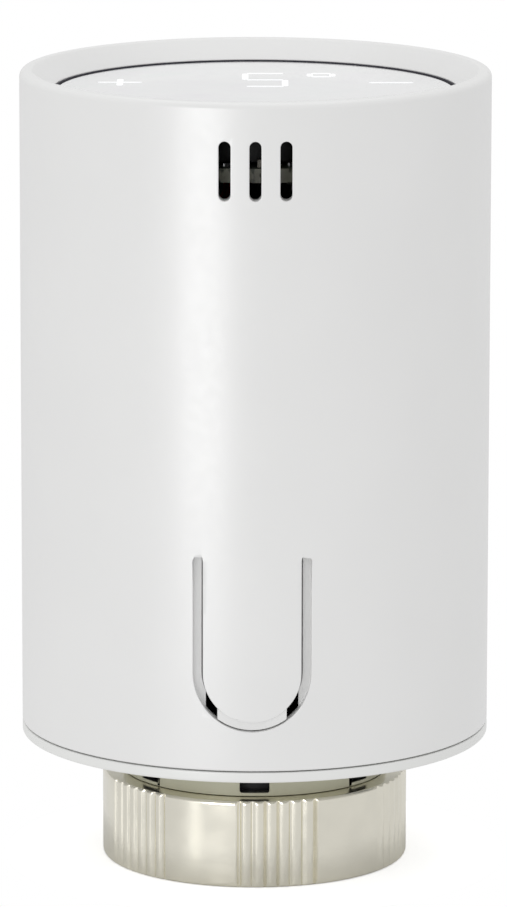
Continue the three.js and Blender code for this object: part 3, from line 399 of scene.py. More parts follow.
def settle(obj, body, slot, *nodes):
    """Makes a finished piece ride on its body and stand for its nodes, which it hides; its slot is not
    used.
    """
    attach(obj, body)
    if nodes:
        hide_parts(*nodes)
    return obj


# ---------------------------------------------------------------- material tools


class Finish:
    """A material made of one Principled shader and the patterns that feed it, on Object coordinates."""

    def __init__(self, name, colour, roughness, metallic=0.0, **sockets):
        self.material = bpy.data.materials.new(name)
        self.material.use_nodes = True
        self.nodes = self.material.node_tree.nodes
        self.links = self.material.node_tree.links
        self.shader = self.nodes["Principled BSDF"]
        self.colour = (*colour, 1)
        self.set("Base Color", self.colour)
        self.set("Roughness", roughness)
        self.set("Metallic", metallic)
        self.roughness = roughness
        for socket, value in sockets.items():
            self.set(socket.replace("_", " "), value)
        self.place = self.nodes.new("ShaderNodeTexCoord")
        self.height = None

    def set(self, socket, value):
        self.shader.inputs[socket].default_value = value

    def noise(self, scale, detail=2.0, stretch=(1, 1, 1), distortion=0.0):
        """The value of a noise whose features are about 1/scale across, in metres."""
        mapping = self.nodes.new("ShaderNodeMapping")
        mapping.inputs["Scale"].default_value = stretch
        texture = self.nodes.new("ShaderNodeTexNoise")
        texture.inputs["Scale"].default_value = scale
        texture.inputs["Detail"].default_value = detail
        texture.inputs["Distortion"].default_value = distortion
        self.links.new(self.place.outputs["Object"], mapping.inputs["Vector"])
        self.links.new(mapping.outputs["Vector"], texture.inputs["Vector"])
        return texture.outputs["Fac"]

    def radius(self):
        """Distance from the head's axis."""
        flat = self.nodes.new("ShaderNodeMapping")
        flat.inputs["Scale"].default_value = (1, 1, 0)
        length = self.nodes.new("ShaderNodeVectorMath")
        length.operation = "LENGTH"
        self.links.new(self.place.outputs["Object"], flat.inputs["Vector"])
        self.links.new(flat.outputs["Vector"], length.inputs[0])
        return length.outputs["Value"]

    def height_above(self):
        """Height above the nut's lower face."""
        split = self.nodes.new("ShaderNodeSeparateXYZ")
        self.links.new(self.place.outputs["Object"], split.inputs["Vector"])
        return split.outputs["Z"]

    def spots(self, scale, size):
        """Small round spots, 1 inside and 0 outside, on some of the cells of a grid."""
        texture = self.nodes.new("ShaderNodeTexVoronoi")
        texture.inputs["Scale"].default_value = scale
        self.links.new(self.place.outputs["Object"], texture.inputs["Vector"])
        return self.ramp(texture.outputs["Distance"], size, size * 0.5, 0, 1)

    def ramp(self, value, low_in, high_in, low_out, high_out):
        node = self.nodes.new("ShaderNodeMapRange")
        node.inputs["From Min"].default_value = low_in
        node.inputs["From Max"].default_value = high_in
        node.inputs["To Min"].default_value = low_out
        node.inputs["To Max"].default_value = high_out
        self.links.new(value, node.inputs["Value"])
        return node.outputs["Result"]

    def tint(self, value, other, low_in=0.35, high_in=0.65):
        """Mixes the base colour towards another by a pattern."""
        mix = self.nodes.new("ShaderNodeMix")
        mix.data_type = "RGBA"
        source = self.shader.inputs["Base Color"]
        if source.is_linked:
            self.links.new(source.links[0].from_socket, mix.inputs["A"])
        else:
            mix.inputs["A"].default_value = self.colour
        mix.inputs["B"].default_value = (*other, 1)
        self.links.new(self.ramp(value, low_in, high_in, 0, 1), mix.inputs["Factor"])
        self.links.new(mix.outputs["Result"], source)
        return self

    def vary_roughness(self, value, spread):
        made = self.ramp(value, 0.3, 0.7, self.roughness - spread, self.roughness + spread)
        self.links.new(made, self.shader.inputs["Roughness"])
        return self

    def bump(self, value, depth, strength=1.0):
        """Adds relief of a depth in metres, on top of any that is there."""
        node = self.nodes.new("ShaderNodeBump")
        node.inputs["Distance"].default_value = depth
        node.inputs["Strength"].default_value = strength
        self.links.new(value, node.inputs["Height"])
        if self.height:
            self.links.new(self.height, node.inputs["Normal"])
        self.height = node.outputs["Normal"]
        self.links.new(self.height, self.shader.inputs["Normal"])
        return self


def moulded(name, colour, roughness, shade=0.97, coat=0.0):
    """Moulded plastic: a faint cloudiness, a fine spark-eroded grain and slow sink over the wall."""
    finish = Finish(name, colour, roughness, Coat_Weight=coat, Coat_Roughness=0.25)
    darker = tuple(c * shade for c in colour)
    finish.tint(finish.noise(70, 3), darker)
    finish.vary_roughness(finish.noise(900, 3), 0.05)
    finish.bump(finish.noise(4200, 2), 4e-6, 0.35)
    finish.bump(finish.noise(55, 1), 3e-5, 0.15)
    return finish


def white_body():
    return moulded("white_body", bpy.context.scene.shell_sizes.colour, 0.34, 0.985, 0.25).material


def neck_plastic_painted_shade():
    """The base's moulding, which greys towards olive down its neck as painted shade and a painted
    reflection of the nut, and is painted near-black as shade inside the neck below the flange.
    """
    finish = moulded("neck_plastic_painted_shade", (0.86, 0.865, 0.85), 0.4, 0.97, 0.2)
    # Painted shade and reflection: the neck below the flange is painted olive-grey, for the shade under the
    # flange and the nut's reflection in it.
    finish.tint(finish.height_above(), (0.50, 0.49, 0.37), FLANGE_Z - 0.1 * MM, FLANGE_Z - 0.9 * MM)
    # Painted shade: inside the collar below the flange, and so the inner part of its slots, is painted
    # near-black.
    inside = finish.nodes.new("ShaderNodeMath")
    inside.operation = "MULTIPLY"
    finish.links.new(finish.ramp(finish.radius(), 15.28 * MM, 15.22 * MM, 0, 1), inside.inputs[0])
    under = finish.ramp(finish.height_above(), FLANGE_Z + 0.02 * MM, FLANGE_Z - 0.02 * MM, 0, 1)
    finish.links.new(under, inside.inputs[1])
    finish.tint(inside.outputs["Value"], (0.02, 0.02, 0.02), 0.4, 0.6)
    return finish.material


def inner_plastic():
    return moulded("inner_plastic", (0.85, 0.855, 0.84), 0.5, 0.96).material


def dark_plastic():
    return moulded("dark_plastic", (0.012, 0.012, 0.013), 0.5, 0.7).material


def lens_plastic_painted_reflection():
    finish = Finish(
        "lens_plastic_painted_reflection", (0.92, 0.925, 0.93), 0.12, Coat_Weight=0.6, Coat_Roughness=0.04,
        Specular_IOR_Level=0.5,
    )
    # Painted reflection: faint lavender and green patches painted into the colour stand in for the lens's
    # iridescent reflections.
    finish.tint(finish.noise(150, 2, distortion=0.6), (0.89, 0.875, 0.905), 0.45, 0.75)
    finish.tint(finish.noise(210, 2, distortion=0.4), (0.875, 0.91, 0.905), 0.5, 0.8)
    finish.bump(finish.noise(260, 1), 1.2e-5, 0.2)
    return finish.material


def display_light():
    finish = Finish("display_light", (0.95, 0.96, 0.97), 0.2)
    finish.set("Emission Color", (1.0, 1.0, 1.0, 1))
    finish.set("Emission Strength", 0.22)
    finish.tint(finish.noise(1800, 1), (0.88, 0.9, 0.92))
    return finish.material


def seal_rubber():
    finish = Finish("seal_rubber", (0.016, 0.013, 0.024), 0.75)
    finish.tint(finish.noise(2600, 2), (0.03, 0.028, 0.04))
    finish.bump(finish.noise(5200, 2), 1e-5, 0.5)
    return finish.material


def nickel_plate():
    """Satin nickel: fine turning lines round the nut, slow cloudiness, and a few pits in the casting."""
    colour = bpy.context.scene.nut_sizes.colour
    finish = Finish("nickel_plate", colour, 0.23, 1.0)
    finish.tint(finish.noise(110, 3), tuple(c * 0.9 for c in colour))
    finish.vary_roughness(finish.noise(300, 3, (1, 1, 2)), 0.04)
    finish.bump(finish.noise(500, 2, (1, 1, 10)), 4e-6, 0.2)
    finish.bump(finish.spots(520, 0.1), 3e-5, -0.35)
    return finish.material


def bright_steel():
    finish = Finish("bright_steel", (0.66, 0.67, 0.68), 0.28, 1.0)
    finish.vary_roughness(finish.noise(600, 4, (1, 1, 6)), 0.08)
    finish.tint(finish.noise(240, 3), (0.58, 0.585, 0.59))
    finish.bump(finish.noise(1500, 3, (1, 1, 8)), 4e-6, 0.4)
    return finish.material


def spring_nickel():
    finish = Finish("spring_nickel", (0.78, 0.76, 0.71), 0.24, 1.0)
    finish.vary_roughness(finish.noise(900, 3), 0.06)
    finish.tint(finish.noise(500, 3), (0.70, 0.67, 0.60))
    finish.bump(finish.noise(2400, 2), 3e-6, 0.3)
    return finish.material


def turned_brass():
    finish = Finish("turned_brass", (0.80, 0.62, 0.28), 0.25, 1.0)
    finish.vary_roughness(finish.noise(700, 3, (1, 1, 5)), 0.07)
    finish.tint(finish.noise(350, 3), (0.68, 0.50, 0.22))
    finish.bump(finish.noise(1900, 2, (1, 1, 6)), 3e-6, 0.4)
    return finish.material


def acetal():
    finish = Finish("acetal", (0.80, 0.785, 0.72), 0.38, Subsurface_Weight=0.15, Subsurface_Scale=0.0008)
    finish.tint(finish.noise(160, 2), (0.76, 0.74, 0.67))
    finish.vary_roughness(finish.noise(1200, 3), 0.05)
    finish.bump(finish.noise(3600, 2), 4e-6, 0.3)
    return finish.material


def solder_mask():
    """Board: green-grey mask with faint copper runs under it and small tinned dots."""
    finish = Finish("solder_mask", (0.085, 0.115, 0.085), 0.42, Coat_Weight=0.25)
    runs = finish.nodes.new("ShaderNodeTexBrick")
    runs.inputs["Scale"].default_value = 420
    runs.inputs["Mortar Size"].default_value = 0.09
    finish.links.new(finish.place.outputs["Object"], runs.inputs["Vector"])
    finish.tint(runs.outputs["Fac"], (0.15, 0.19, 0.13), 0.2, 0.9)
    finish.tint(finish.spots(420, 0.16), (0.45, 0.45, 0.40), 0.3, 0.7)
    finish.tint(finish.noise(700, 4), (0.20, 0.205, 0.18), 0.5, 0.75)
    finish.tint(finish.radius(), (0.36, 0.36, 0.29), 21.9 * MM, 21.97 * MM)
    finish.tint(finish.noise(1500, 3, (1, 1, 0.5)), (0.12, 0.13, 0.10), 0.5, 0.62)
    finish.bump(runs.outputs["Fac"], 1.5e-5, 0.5)
    return finish.material


def chip_resin():
    finish = Finish("chip_resin", (0.022, 0.022, 0.024), 0.48)
    finish.tint(finish.noise(1800, 3), (0.035, 0.035, 0.037))
    finish.bump(finish.noise(6000, 2), 6e-6, 0.5)
    return finish.material


def ceramic():
    finish = Finish("ceramic", (0.50, 0.47, 0.41), 0.5)
    finish.tint(finish.noise(2200, 3), (0.42, 0.39, 0.34))
    finish.bump(finish.noise(5200, 2), 5e-6, 0.4)
    return finish.material


def lamp_resin():
    finish = Finish("lamp_resin", (0.84, 0.84, 0.79), 0.25, Coat_Weight=0.4)
    finish.tint(finish.noise(900, 2), (0.80, 0.79, 0.70))
    finish.bump(finish.noise(2600, 1), 4e-6, 0.3)
    return finish.material


def insulation(name, colour):
    finish = Finish(name, colour, 0.34, Coat_Weight=0.2)
    finish.tint(finish.noise(800, 3), tuple(c * 0.75 for c in colour))
    finish.bump(finish.noise(3000, 2, (1, 1, 4)), 6e-6, 0.4)
    return finish.material


CELL_BAND_Z = 63.5 * MM        # where the paler band of both jackets starts


def cell_jacket():
    """A plain jacket for the cells: green, with a paler band near one end and a soft metal glint."""
    finish = Finish("cell_jacket", (0.055, 0.16, 0.075), 0.3, 0.25, Coat_Weight=0.7, Coat_Roughness=0.08)
    finish.tint(finish.noise(300, 3, (1, 1, 0.2)), (0.045, 0.14, 0.065), 0.45, 0.9)
    finish.tint(finish.height_above(), (0.46, 0.47, 0.46), CELL_BAND_Z, CELL_BAND_Z + 0.2 * MM)
    finish.bump(finish.noise(500, 2, (1, 1, 0.3)), 1e-5, 0.3)
    return finish.material


# ---------------------------------------------------------------- outer sleeve and its tongue

ROUND_STEPS = 240
WALL_RINGS = 25
SHORT_EDGE = 0.11 * MM         # shorter edges beside the openings are drawn together
SPLIT_BELOW = 0.5 * MM         # from the slot's top down to the tongue's root
BEND_LENGTH = 6 * MM           # over which the tongue is cut across in bands
BEND_STEPS = 12
CUT_FROM, CUT_TO = -1.1 * BODY_R, -0.7 * BODY_R     # a cutter's reach through the front wall


def sleeve_outline(sizes):
    """Section of the sleeve: wall, crest, rim that falls to the lens, and the ledge that carries it."""
    crest_r = BODY_R - sizes.crest
    crest_z = CREST_Z - sizes.crest
    mouth_r = LENS_R + GAP
    rim_r = crest_r - 0.4 * MM
    mouth_z = CREST_Z - 0.04 * MM - (rim_r - mouth_r) * math.tan(sizes.rim_slope)
    boss_r = LENS_R - 1.4 * MM
    ledge = LENS_Z + 0.1 * MM
    rings = [SLEEVE_Z + (crest_z - SLEEVE_Z) * i / WALL_RINGS for i in range(1, WALL_RINGS)]
    outline = [(SLEEVE_IN_R, SLEEVE_Z), (BODY_R - 0.25 * MM, SLEEVE_Z)]
    outline += arc((BODY_R - 0.25 * MM, SLEEVE_Z + 0.25 * MM), 0.25 * MM, -90, 0, 4)[1:]
    outline += [(BODY_R, z) for z in rings]
    outline += arc((crest_r, crest_z), sizes.crest, 0, 90, 10)
    slope = math.degrees(sizes.rim_slope)
    outline += arc((rim_r, CREST_Z - 0.6 * MM), 0.6 * MM, 90, 90 + slope, 5)[1:]
    outline += [(mouth_r + 0.05 * MM, mouth_z + 0.04 * MM), (mouth_r, mouth_z - 0.04 * MM)]
    outline += [(mouth_r, ledge), (boss_r, ledge), (boss_r, ledge - 0.9 * MM)]
    outline += [(SLEEVE_IN_R - 0.6 * MM, ledge - 0.9 * MM), (SLEEVE_IN_R, ledge - 1.5 * MM)]
    return outline


def slot_centre(sizes):
    return (TAB_X, TAB_Z + sizes.slot_radius)


def dip(across, radius):
    """How far round an arc, in degrees below level, it comes within a distance of its middle line."""
    return math.degrees(math.acos(across / radius))


def gap_cutter(sizes):
    """What goes right through the wall: a line beside the tongue, two windows, a gap under the toe."""
    centre, outer, toe, side = slot_centre(sizes), sizes.slot_radius, sizes.toe_half, sizes.window_half
    inner = outer - sizes.slot_width
    line, hair, top = inner + sizes.line, outer - sizes.toe_gap, TAB_TOP
    outline = [(TAB_X + line, top)] + arc(centre, line, 0, -dip(side, line), 10)
    outline += arc(centre, outer, -dip(side, outer), dip(side, outer) - 180, 36)
    outline += arc(centre, line, dip(side, line) - 180, -180, 10) + [(TAB_X - line, top)]
    outline += [(TAB_X - inner, top)] + arc(centre, inner, 180, 180 + dip(toe, inner), 14)
    outline += arc(centre, hair, 180 + dip(toe, hair), 360 - dip(toe, hair), 28)
    outline += arc(centre, inner, -dip(toe, inner), 0, 14) + [(TAB_X + inner, top)]
    return slab(outline, "y", CUT_FROM, CUT_TO)


def channel_cutter(sizes, side):
    """The shallow channel down one side of the tongue, as far as its window."""
    centre, outer, corner = slot_centre(sizes), sizes.slot_radius, 0.25 * MM
    inner = outer - sizes.slot_width + sizes.line / 2
    end, reach = dip(sizes.window_half, outer), sizes.window_half - 0.1 * MM
    within = outer - 0.3 * MM
    outline = arc((TAB_X + outer - corner, TAB_TOP - corner), corner, 90, 0, 5)
    outline += arc(centre, outer, 0, -end, 12)
    outline.append(spot(centre, within, -dip(reach, within)))
    outline += arc(centre, inner, -dip(reach, inner), 0, 12)
    outline.append((TAB_X + inner, TAB_TOP))
    if side < 0:
        outline = [(2 * TAB_X - x, z) for x, z in outline][::-1]
    return slab(outline, "y", CUT_FROM, sizes.channel_depth - BODY_R + 0.65 * MM)


def toe_cutter(sizes):
    """The shallow step that sets the toe back from the tongue's face."""
    centre, outer, toe = slot_centre(sizes), sizes.slot_radius, sizes.toe_half + 0.05 * MM
    inner, hair = outer - sizes.slot_width, outer - sizes.toe_gap / 2
    outline = arc(centre, hair, 180 + dip(toe, hair), 360 - dip(toe, hair), 28)
    outline += arc(centre, inner, -dip(toe, inner), dip(toe, inner) - 180, 28)
    return slab(outline, "y", CUT_FROM, sizes.toe_depth - BODY_R)


def vent_cutter(sizes, x):
    """A vent with round ends."""
    r = sizes.vent_width / 2
    top = CREST_Z - sizes.vent_drop - r
    bottom = top - sizes.vent_height + 2 * r
    outline = arc((x, top), r, 0, 180, 10) + arc((x, bottom), r, 180, 360, 10)
    return slab(outline, "y", CUT_FROM, CUT_TO)


class HEAD_OT_sleeve(bpy.types.Operator):
    """Build the outer sleeve with its vents, and the tongue that stands for the release tab"""

    bl_idname = "valve_head.sleeve"
    bl_label = "Outer sleeve and tongue"

    def execute(self, context):
        sizes = context.scene.shell_sizes
        white = white_body()
        wall = lathe(sleeve_outline(sizes), ROUND_STEPS)
        bmesh.ops.rotate(wall, verts=wall.verts, matrix=Matrix.Rotation(math.pi / ROUND_STEPS, 3, "Z"))
        sleeve = make("sleeve", wall, white)
        cutters = [vent_cutter(sizes, i * sizes.vent_pitch) for i in (-1, 0, 1)]
        cutters.append(gap_cutter(sizes))
        cut(sleeve, gather(cutters))
        cut(sleeve, gather([channel_cutter(sizes, 1), channel_cutter(sizes, -1)]))
        cut(sleeve, toe_cutter(sizes))
        weld(sleeve, SHORT_EDGE)
        soften(sleeve, sizes.edge)
        split = TAB_TOP - SPLIT_BELOW
        tongue = part_tongue(sleeve, split, sizes)
        divide(tongue, split, BEND_LENGTH, BEND_STEPS)
        smooth(sleeve)
        smooth(tongue)
        settle(sleeve, "sleeve", "white_body", "outer_sleeve")
        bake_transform(tongue)
        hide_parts("release_tab")
        return {"FINISHED"}


def part_tongue(sleeve, split, sizes):
    """Parts the tongue from the sleeve at a level below the slot's top, and closes both."""
    reach = sizes.slot_radius - sizes.slot_width + 0.08 * MM
    bm = bm_of(sleeve)
    mark = bm.faces.layers.int.new("tongue")
    inside = [
        f for f in bm.faces
        if abs(f.calc_center_median().x - TAB_X) < reach and f.calc_center_median().y < -SLEEVE_IN_R * 0.9
    ]
    geom = list({v for f in inside for v in f.verts}) + list({e for f in inside for e in f.edges}) + inside
    cut_at = bmesh.ops.bisect_plane(bm, geom=geom, dist=1e-7, plane_co=(0, 0, split), plane_no=(0, 0, 1))
    seam = {e for e in cut_at["geom_cut"] if isinstance(e, bmesh.types.BMEdge)}
    seed_at = Vector((TAB_X, -BODY_R, TAB_Z + 0.6 * (split - TAB_Z)))
    seed = min(bm.faces, key=lambda f: (f.calc_center_median() - seed_at).length)
    found, waiting = {seed}, [seed]
    while waiting:
        for edge in waiting.pop().edges:
            if edge in seam:
                continue
            for face in edge.link_faces:
                if face not in found:
                    found.add(face)
                    waiting.append(face)
    if max(v.co.z for f in found for v in f.verts) > split + 1e-6:
        raise RuntimeError("the tongue isn't parted from the sleeve")
    for face in found:
        face[mark] = 1
    pieces = []
    for keep in (0, 1):
        piece = bm.copy()
        layer = piece.faces.layers.int["tongue"]
        loose = [f for f in piece.faces if f[layer] != keep]
        bmesh.ops.delete(piece, geom=loose, context="FACES")
        open_edges = [e for e in piece.edges if len(e.link_faces) == 1]
        bmesh.ops.holes_fill(piece, edges=open_edges, sides=0)
        bmesh.ops.recalc_face_normals(piece, faces=piece.faces)
        pieces.append(piece)
    bm.free()
    pieces[0].to_mesh(sleeve.data)
    pieces[0].free()
    return make("tongue", pieces[1], sleeve.data.materials[0])


def weld(obj, distance):
    """Draws together the short edges that cutting leaves on the wall."""
    bm = bm_of(obj)
    low_z, high_z = SLEEVE_Z + MM, CREST_Z - 3 * MM
    short = [
        e for e in bm.edges
        if e.calc_length() < distance and low_z < e.verts[0].co.z < high_z
    ]
    bmesh.ops.collapse(bm, edges=short)
    bmesh.ops.dissolve_degenerate(bm, edges=bm.edges, dist=distance / 20)
    bm.to_mesh(obj.data)
    bm.free()


def bm_of(obj):
    bm = bmesh.new()
    bm.from_mesh(obj.data)
    return bm


def divide(obj, top, length, steps):
    """Cuts an object's faces across at level planes."""
    bm = bm_of(obj)
    for i in range(1, steps + 1):
        geom = bm.verts[:] + bm.edges[:] + bm.faces[:]
        bmesh.ops.bisect_plane(
            bm, geom=geom, dist=1e-7, plane_co=(0, 0, top - length * i / steps), plane_no=(0, 0, 1),
        )
    bm.to_mesh(obj.data)
    bm.free()


# ---------------------------------------------------------------- lens, seal and display marks

MARK_HEIGHT = 0.02 * MM


class HEAD_OT_display(bpy.types.Operator):
    """Build the lens, the seal round it and the lit marks on it"""

    bl_idname = "valve_head.display"
    bl_label = "Lens, seal and marks"

    def execute(self, context):
        top, edge = LENS_TOP - MARK_HEIGHT, 0.3 * MM
        boss_r = LENS_R - 1.7 * MM
        outline = [(0, LENS_Z), (boss_r, LENS_Z), (boss_r, LENS_Z + 0.8 * MM), (LENS_R, LENS_Z + 0.8 * MM)]
        outline += arc((LENS_R - edge, top - edge), edge, 0, 90, 6)
        outline += [(0, top)]
        lens = make("lens", lathe(outline, ROUND_STEPS, closed=False), lens_plastic_painted_reflection())
        smooth(lens, 30)
        settle(lens, "sleeve", "display_lens", "display_lens")
        ledge = LENS_Z + 0.1 * MM
        inner, outer, lip = LENS_R - 1.3 * MM, LENS_R + 0.25 * MM, LENS_R + 0.03 * MM
        section = [(inner, ledge + 0.05 * MM), (outer, ledge + 0.05 * MM), (outer, top + 0.04 * MM)]
        section += arc(((outer + lip) / 2, top + 0.04 * MM), (outer - lip) / 2, 0, 180, 6)[1:]
        section += [(lip, LENS_Z + 0.75 * MM), (inner, LENS_Z + 0.75 * MM)]
        seal = make("lens_seal", lathe(section, ROUND_STEPS), seal_rubber())
        smooth(seal, 50)
        settle(seal, "sleeve", "gasket_black", "lens_gasket")
        marks = make("display_marks", display_marks(), display_light())
        smooth(marks, 30)
        settle(marks, "sleeve", "display_lens")
        return {"FINISHED"}


def bar(start, end, width, z0, z1):
    """A flat bar with round ends between two points."""
    a, b = Vector(start), Vector(end)
    angle = math.degrees(math.atan2(b.y - a.y, b.x - a.x))
    outline = arc(b, width / 2, angle - 90, angle + 90, 8) + arc(a, width / 2, angle + 90, angle + 270, 8)
    return slab(outline, "z", z0, z1)


def display_marks():
    """A plus and a minus sign at the touch keys, and a digit with its degree sign between them."""
    z0, z1 = LENS_TOP - MARK_HEIGHT, LENS_TOP
    key_x, key_y = high("minus_led").x - 1.4 * MM, (low("minus_led").y + high("minus_led").y) / 2
    arm, stroke = 2.2 * MM, 0.75 * MM
    digit_x, digit_low, digit_wide, digit_tall = -1.2 * MM, 2.4 * MM, 4.6 * MM, 10.4 * MM
    lines = [
        ((key_x - arm, key_y), (key_x + arm, key_y)),
        ((-key_x - arm, key_y), (-key_x + arm, key_y)),
        ((-key_x, key_y - arm), (-key_x, key_y - stroke)),
        ((-key_x, key_y + stroke), (-key_x, key_y + arm)),
    ]
    gap = 0.55 * MM
    left, right = digit_x, digit_x + digit_wide
    lower, middle, upper = digit_low, digit_low + digit_tall / 2, digit_low + digit_tall
    lines += [((left + gap, z), (right - gap, z)) for z in (lower, middle, upper)]
    lines += [((left, middle + gap), (left, upper - gap)), ((right, lower + gap), (right, middle - gap))]
    ring, ring_x = 2.6 * MM, right + 2.9 * MM
    ring_low = upper - ring
    lines += [((ring_x + gap, z), (ring_x + ring - gap, z)) for z in (ring_low, upper)]
    lines += [((x, ring_low + gap), (x, upper - gap)) for x in (ring_x, ring_x + ring)]
    return gather([bar(a, b, stroke, z0, z1) for a, b in lines])


# ---------------------------------------------------------------- union nut

NUT_STEPS = 720


def nut_section(sizes):
    """Section of the nut before its knurl and thread are pressed in: outside, top, hole, bore, mouth."""
    c = 0.5 * MM
    web_z = NUT_TOP - 1.7 * MM
    minor = sizes.thread_radius - sizes.thread_depth
    hole = minor - 0.7 * MM
    outline = [(sizes.thread_radius + 0.35 * MM, 0)]
    outline += arc((NUT_R - c, c), c, -90, 0, 6)
    outline += arc((NUT_R - c, NUT_TOP - c), c, 0, 90, 6)
    outline += [(hole + 0.15 * MM, NUT_TOP), (hole, NUT_TOP - 0.15 * MM), (hole, web_z)]
    outline += [(sizes.thread_radius + 0.2 * MM, web_z), (sizes.thread_radius + 0.2 * MM, web_z - 1.5 * MM)]
    levels = 44
    top = web_z - 1.9 * MM
    outline += [(minor, top - (top - 0.9 * MM) * i / levels) for i in range(levels + 1)]
    return outline


def press_knurl(bm, sizes):
    """Moves the outside in to the grooves of the knurl, and the bore out to a helical thread."""
    minor = sizes.thread_radius - sizes.thread_depth
    top = NUT_TOP - 3.6 * MM
    half = sizes.ridges / 2
    for v in bm.verts:
        radius = math.hypot(v.co.x, v.co.y)
        angle = math.atan2(v.co.x, -v.co.y)
        if radius > NUT_R - 0.6 * MM:
            turn = (angle - sizes.start) / (TURN / sizes.groups)
            offset = (turn - round(turn)) * (TURN / sizes.groups) / sizes.pitch
            if abs(offset) < half + 0.5:
                depth = 1 - abs(math.sin(math.pi * (offset + half))) ** 0.7
                if abs(offset) > half:
                    depth = max(0.0, 1 - (abs(offset) - half) / 0.22)
                radius = min(radius, NUT_R - sizes.depth * depth)
        elif abs(radius - minor) < 1e-6:
            phase = (v.co.z / sizes.thread_pitch - angle / TURN) % 1
            rise = max(0.0, 1 - abs(phase - 0.5) / 0.38)
            fade = min(1, (v.co.z - 0.9 * MM) / (0.5 * MM), (top - v.co.z) / (0.4 * MM))
            radius += sizes.thread_depth * rise * max(0.0, fade)
        else:
            continue
        v.co.x, v.co.y = radius * math.sin(angle), -radius * math.cos(angle)


class HEAD_OT_nut(bpy.types.Operator):
    """Build the knurled union nut with its thread"""

    bl_idname = "valve_head.nut"
    bl_label = "Union nut"

    def execute(self, context):
        sizes = context.scene.nut_sizes
        bm = lathe(nut_section(sizes), NUT_STEPS)
        press_knurl(bm, sizes)
        nut = make("nut", bm, nickel_plate())
        smooth(nut, 32)
        settle(nut, "nut", "nickel", "union_nut")
        return {"FINISHED"}


# ---------------------------------------------------------------- base housing

COLLAR_R = 15.4 * MM
COLLAR_LIFT = 0.05 * MM        # between the nut and the collar's foot
COLLAR_SLOTS = 7
SCREW_PLACES = 3


class HEAD_OT_base(bpy.types.Operator):
    """Build the base housing, with its flange, its slotted collar and its screw sinks"""

    bl_idname = "valve_head.base"
    bl_label = "Base housing"

    def execute(self, context):
        round_r = 0.3 * MM
        collar_r, collar_wall, well_r = COLLAR_R, 1.5 * MM, 6.4 * MM
        guide_r = well_r + 1.5 * MM
        register_r = 22.9 * MM
        foot = NUT_TOP + COLLAR_LIFT
        outline = [(collar_r - collar_wall, foot)]
        outline += arc((collar_r - 0.1 * MM, foot + 0.1 * MM), 0.1 * MM, -90, 0, 3)
        outline += arc((collar_r + 0.3 * MM, FLANGE_Z - 0.3 * MM), 0.3 * MM, 180, 90, 4)
        outline += arc((BODY_R - round_r, FLANGE_Z + round_r), round_r, -90, 0, 5)
        outline += arc((BODY_R - 0.2 * MM, FLANGE_TOP - 0.2 * MM), 0.2 * MM, 0, 90, 4)
        outline += [(register_r, FLANGE_TOP), (register_r, REGISTER_TOP), (well_r, REGISTER_TOP)]
        outline += [(well_r, FLANGE_Z - 1.2 * MM), (guide_r, FLANGE_Z - 1.2 * MM), (guide_r, FLANGE_Z)]
        outline += [(collar_r - collar_wall, FLANGE_Z)]
        base = make("base", lathe(outline, ROUND_STEPS), neck_plastic_painted_shade())
        cutters = []
        for i in range(COLLAR_SLOTS):
            slot = slab(slot_outline(3.4 * MM, COLLAR_Z + 0.1 * MM, FLANGE_Z - 0.3 * MM), "y",
                        -collar_r - 2 * MM, -collar_r + 3 * MM)
            turn = Matrix.Rotation(TURN * i / COLLAR_SLOTS, 3, "Z")
            bmesh.ops.rotate(slot, verts=slot.verts, matrix=turn)
            cutters.append(slot)
        cut(base, gather(cutters))
        sinks = []
        for i in range(1, SCREW_PLACES + 1):
            a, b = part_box(f"frame_screw_{i}")
            centre = ((a.x + b.x) / 2, (a.y + b.y) / 2)
            sink = [(0, FLANGE_Z - MM), (2.7 * MM, FLANGE_Z - MM), (2.7 * MM, FLANGE_Z + 1.6 * MM)]
            sink += [(1.4 * MM, FLANGE_Z + 1.6 * MM), (1.4 * MM, REGISTER_TOP + MM), (0, REGISTER_TOP + MM)]
            sinks.append(lathe(sink, 48, centre, closed=False))
        cut(base, gather(sinks))
        soften(base, 0.08 * MM)
        settle(base, "base", "neck_grey", "base_housing")
        return {"FINISHED"}


def slot_outline(width, z0, z1, corner=0.25 * MM):
    """A rectangle with rounded corners, seen from the front."""
    x = width / 2 - corner
    low_z, high_z = z0 + corner, z1 - corner
    outline = arc((x, high_z), corner, 0, 90, 4) + arc((-x, high_z), corner, 90, 180, 4)
    return outline + arc((-x, low_z), corner, 180, 270, 4) + arc((x, low_z), corner, 270, 360, 4)


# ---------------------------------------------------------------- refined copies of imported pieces


def refine(node, slot, material, width=0.08 * MM, angle=35, segments=2):
    """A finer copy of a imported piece: flat faces joined, edges rounded, small steps shaded smooth."""
    cad = frame["nodes"][node]
    bm = bm_of(cad)
    bmesh.ops.remove_doubles(bm, verts=bm.verts, dist=1e-7)
    bmesh.ops.dissolve_limit(bm, angle_limit=math.radians(0.5), verts=bm.verts, edges=bm.edges)
    piece = make(f"{node}_finish", bm)
    piece.data.materials.clear()
    piece.data.materials.append(material)
    soften(piece, width, angle, segments, clamp=True)
    return settle(piece, cad["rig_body"], slot, node)


def tube(path, radius, sides=12):
    """A wire of round section along a path, closed at both ends."""
    bm = bmesh.new()
    rings = []
    up = Vector((0, 0, 1))
    for i, point in enumerate(path):
        before, after = path[max(i - 1, 0)], path[min(i + 1, len(path) - 1)]
        along = (after - before).normalized()
        side = along.cross(up).normalized()
        over = side.cross(along)
        angles = [TURN * k / sides for k in range(sides)]
        ring = [point + radius * (math.cos(a) * side + math.sin(a) * over) for a in angles]
        rings.append([bm.verts.new(place) for place in ring])
    for one, two in zip(rings, rings[1:]):
        for k in range(sides):
            bm.faces.new((one[k], one[(k + 1) % sides], two[(k + 1) % sides], two[k]))
    bm.faces.new(rings[0][::-1])
    bm.faces.new(rings[-1])
    bmesh.ops.recalc_face_normals(bm, faces=bm.faces)
    return bm


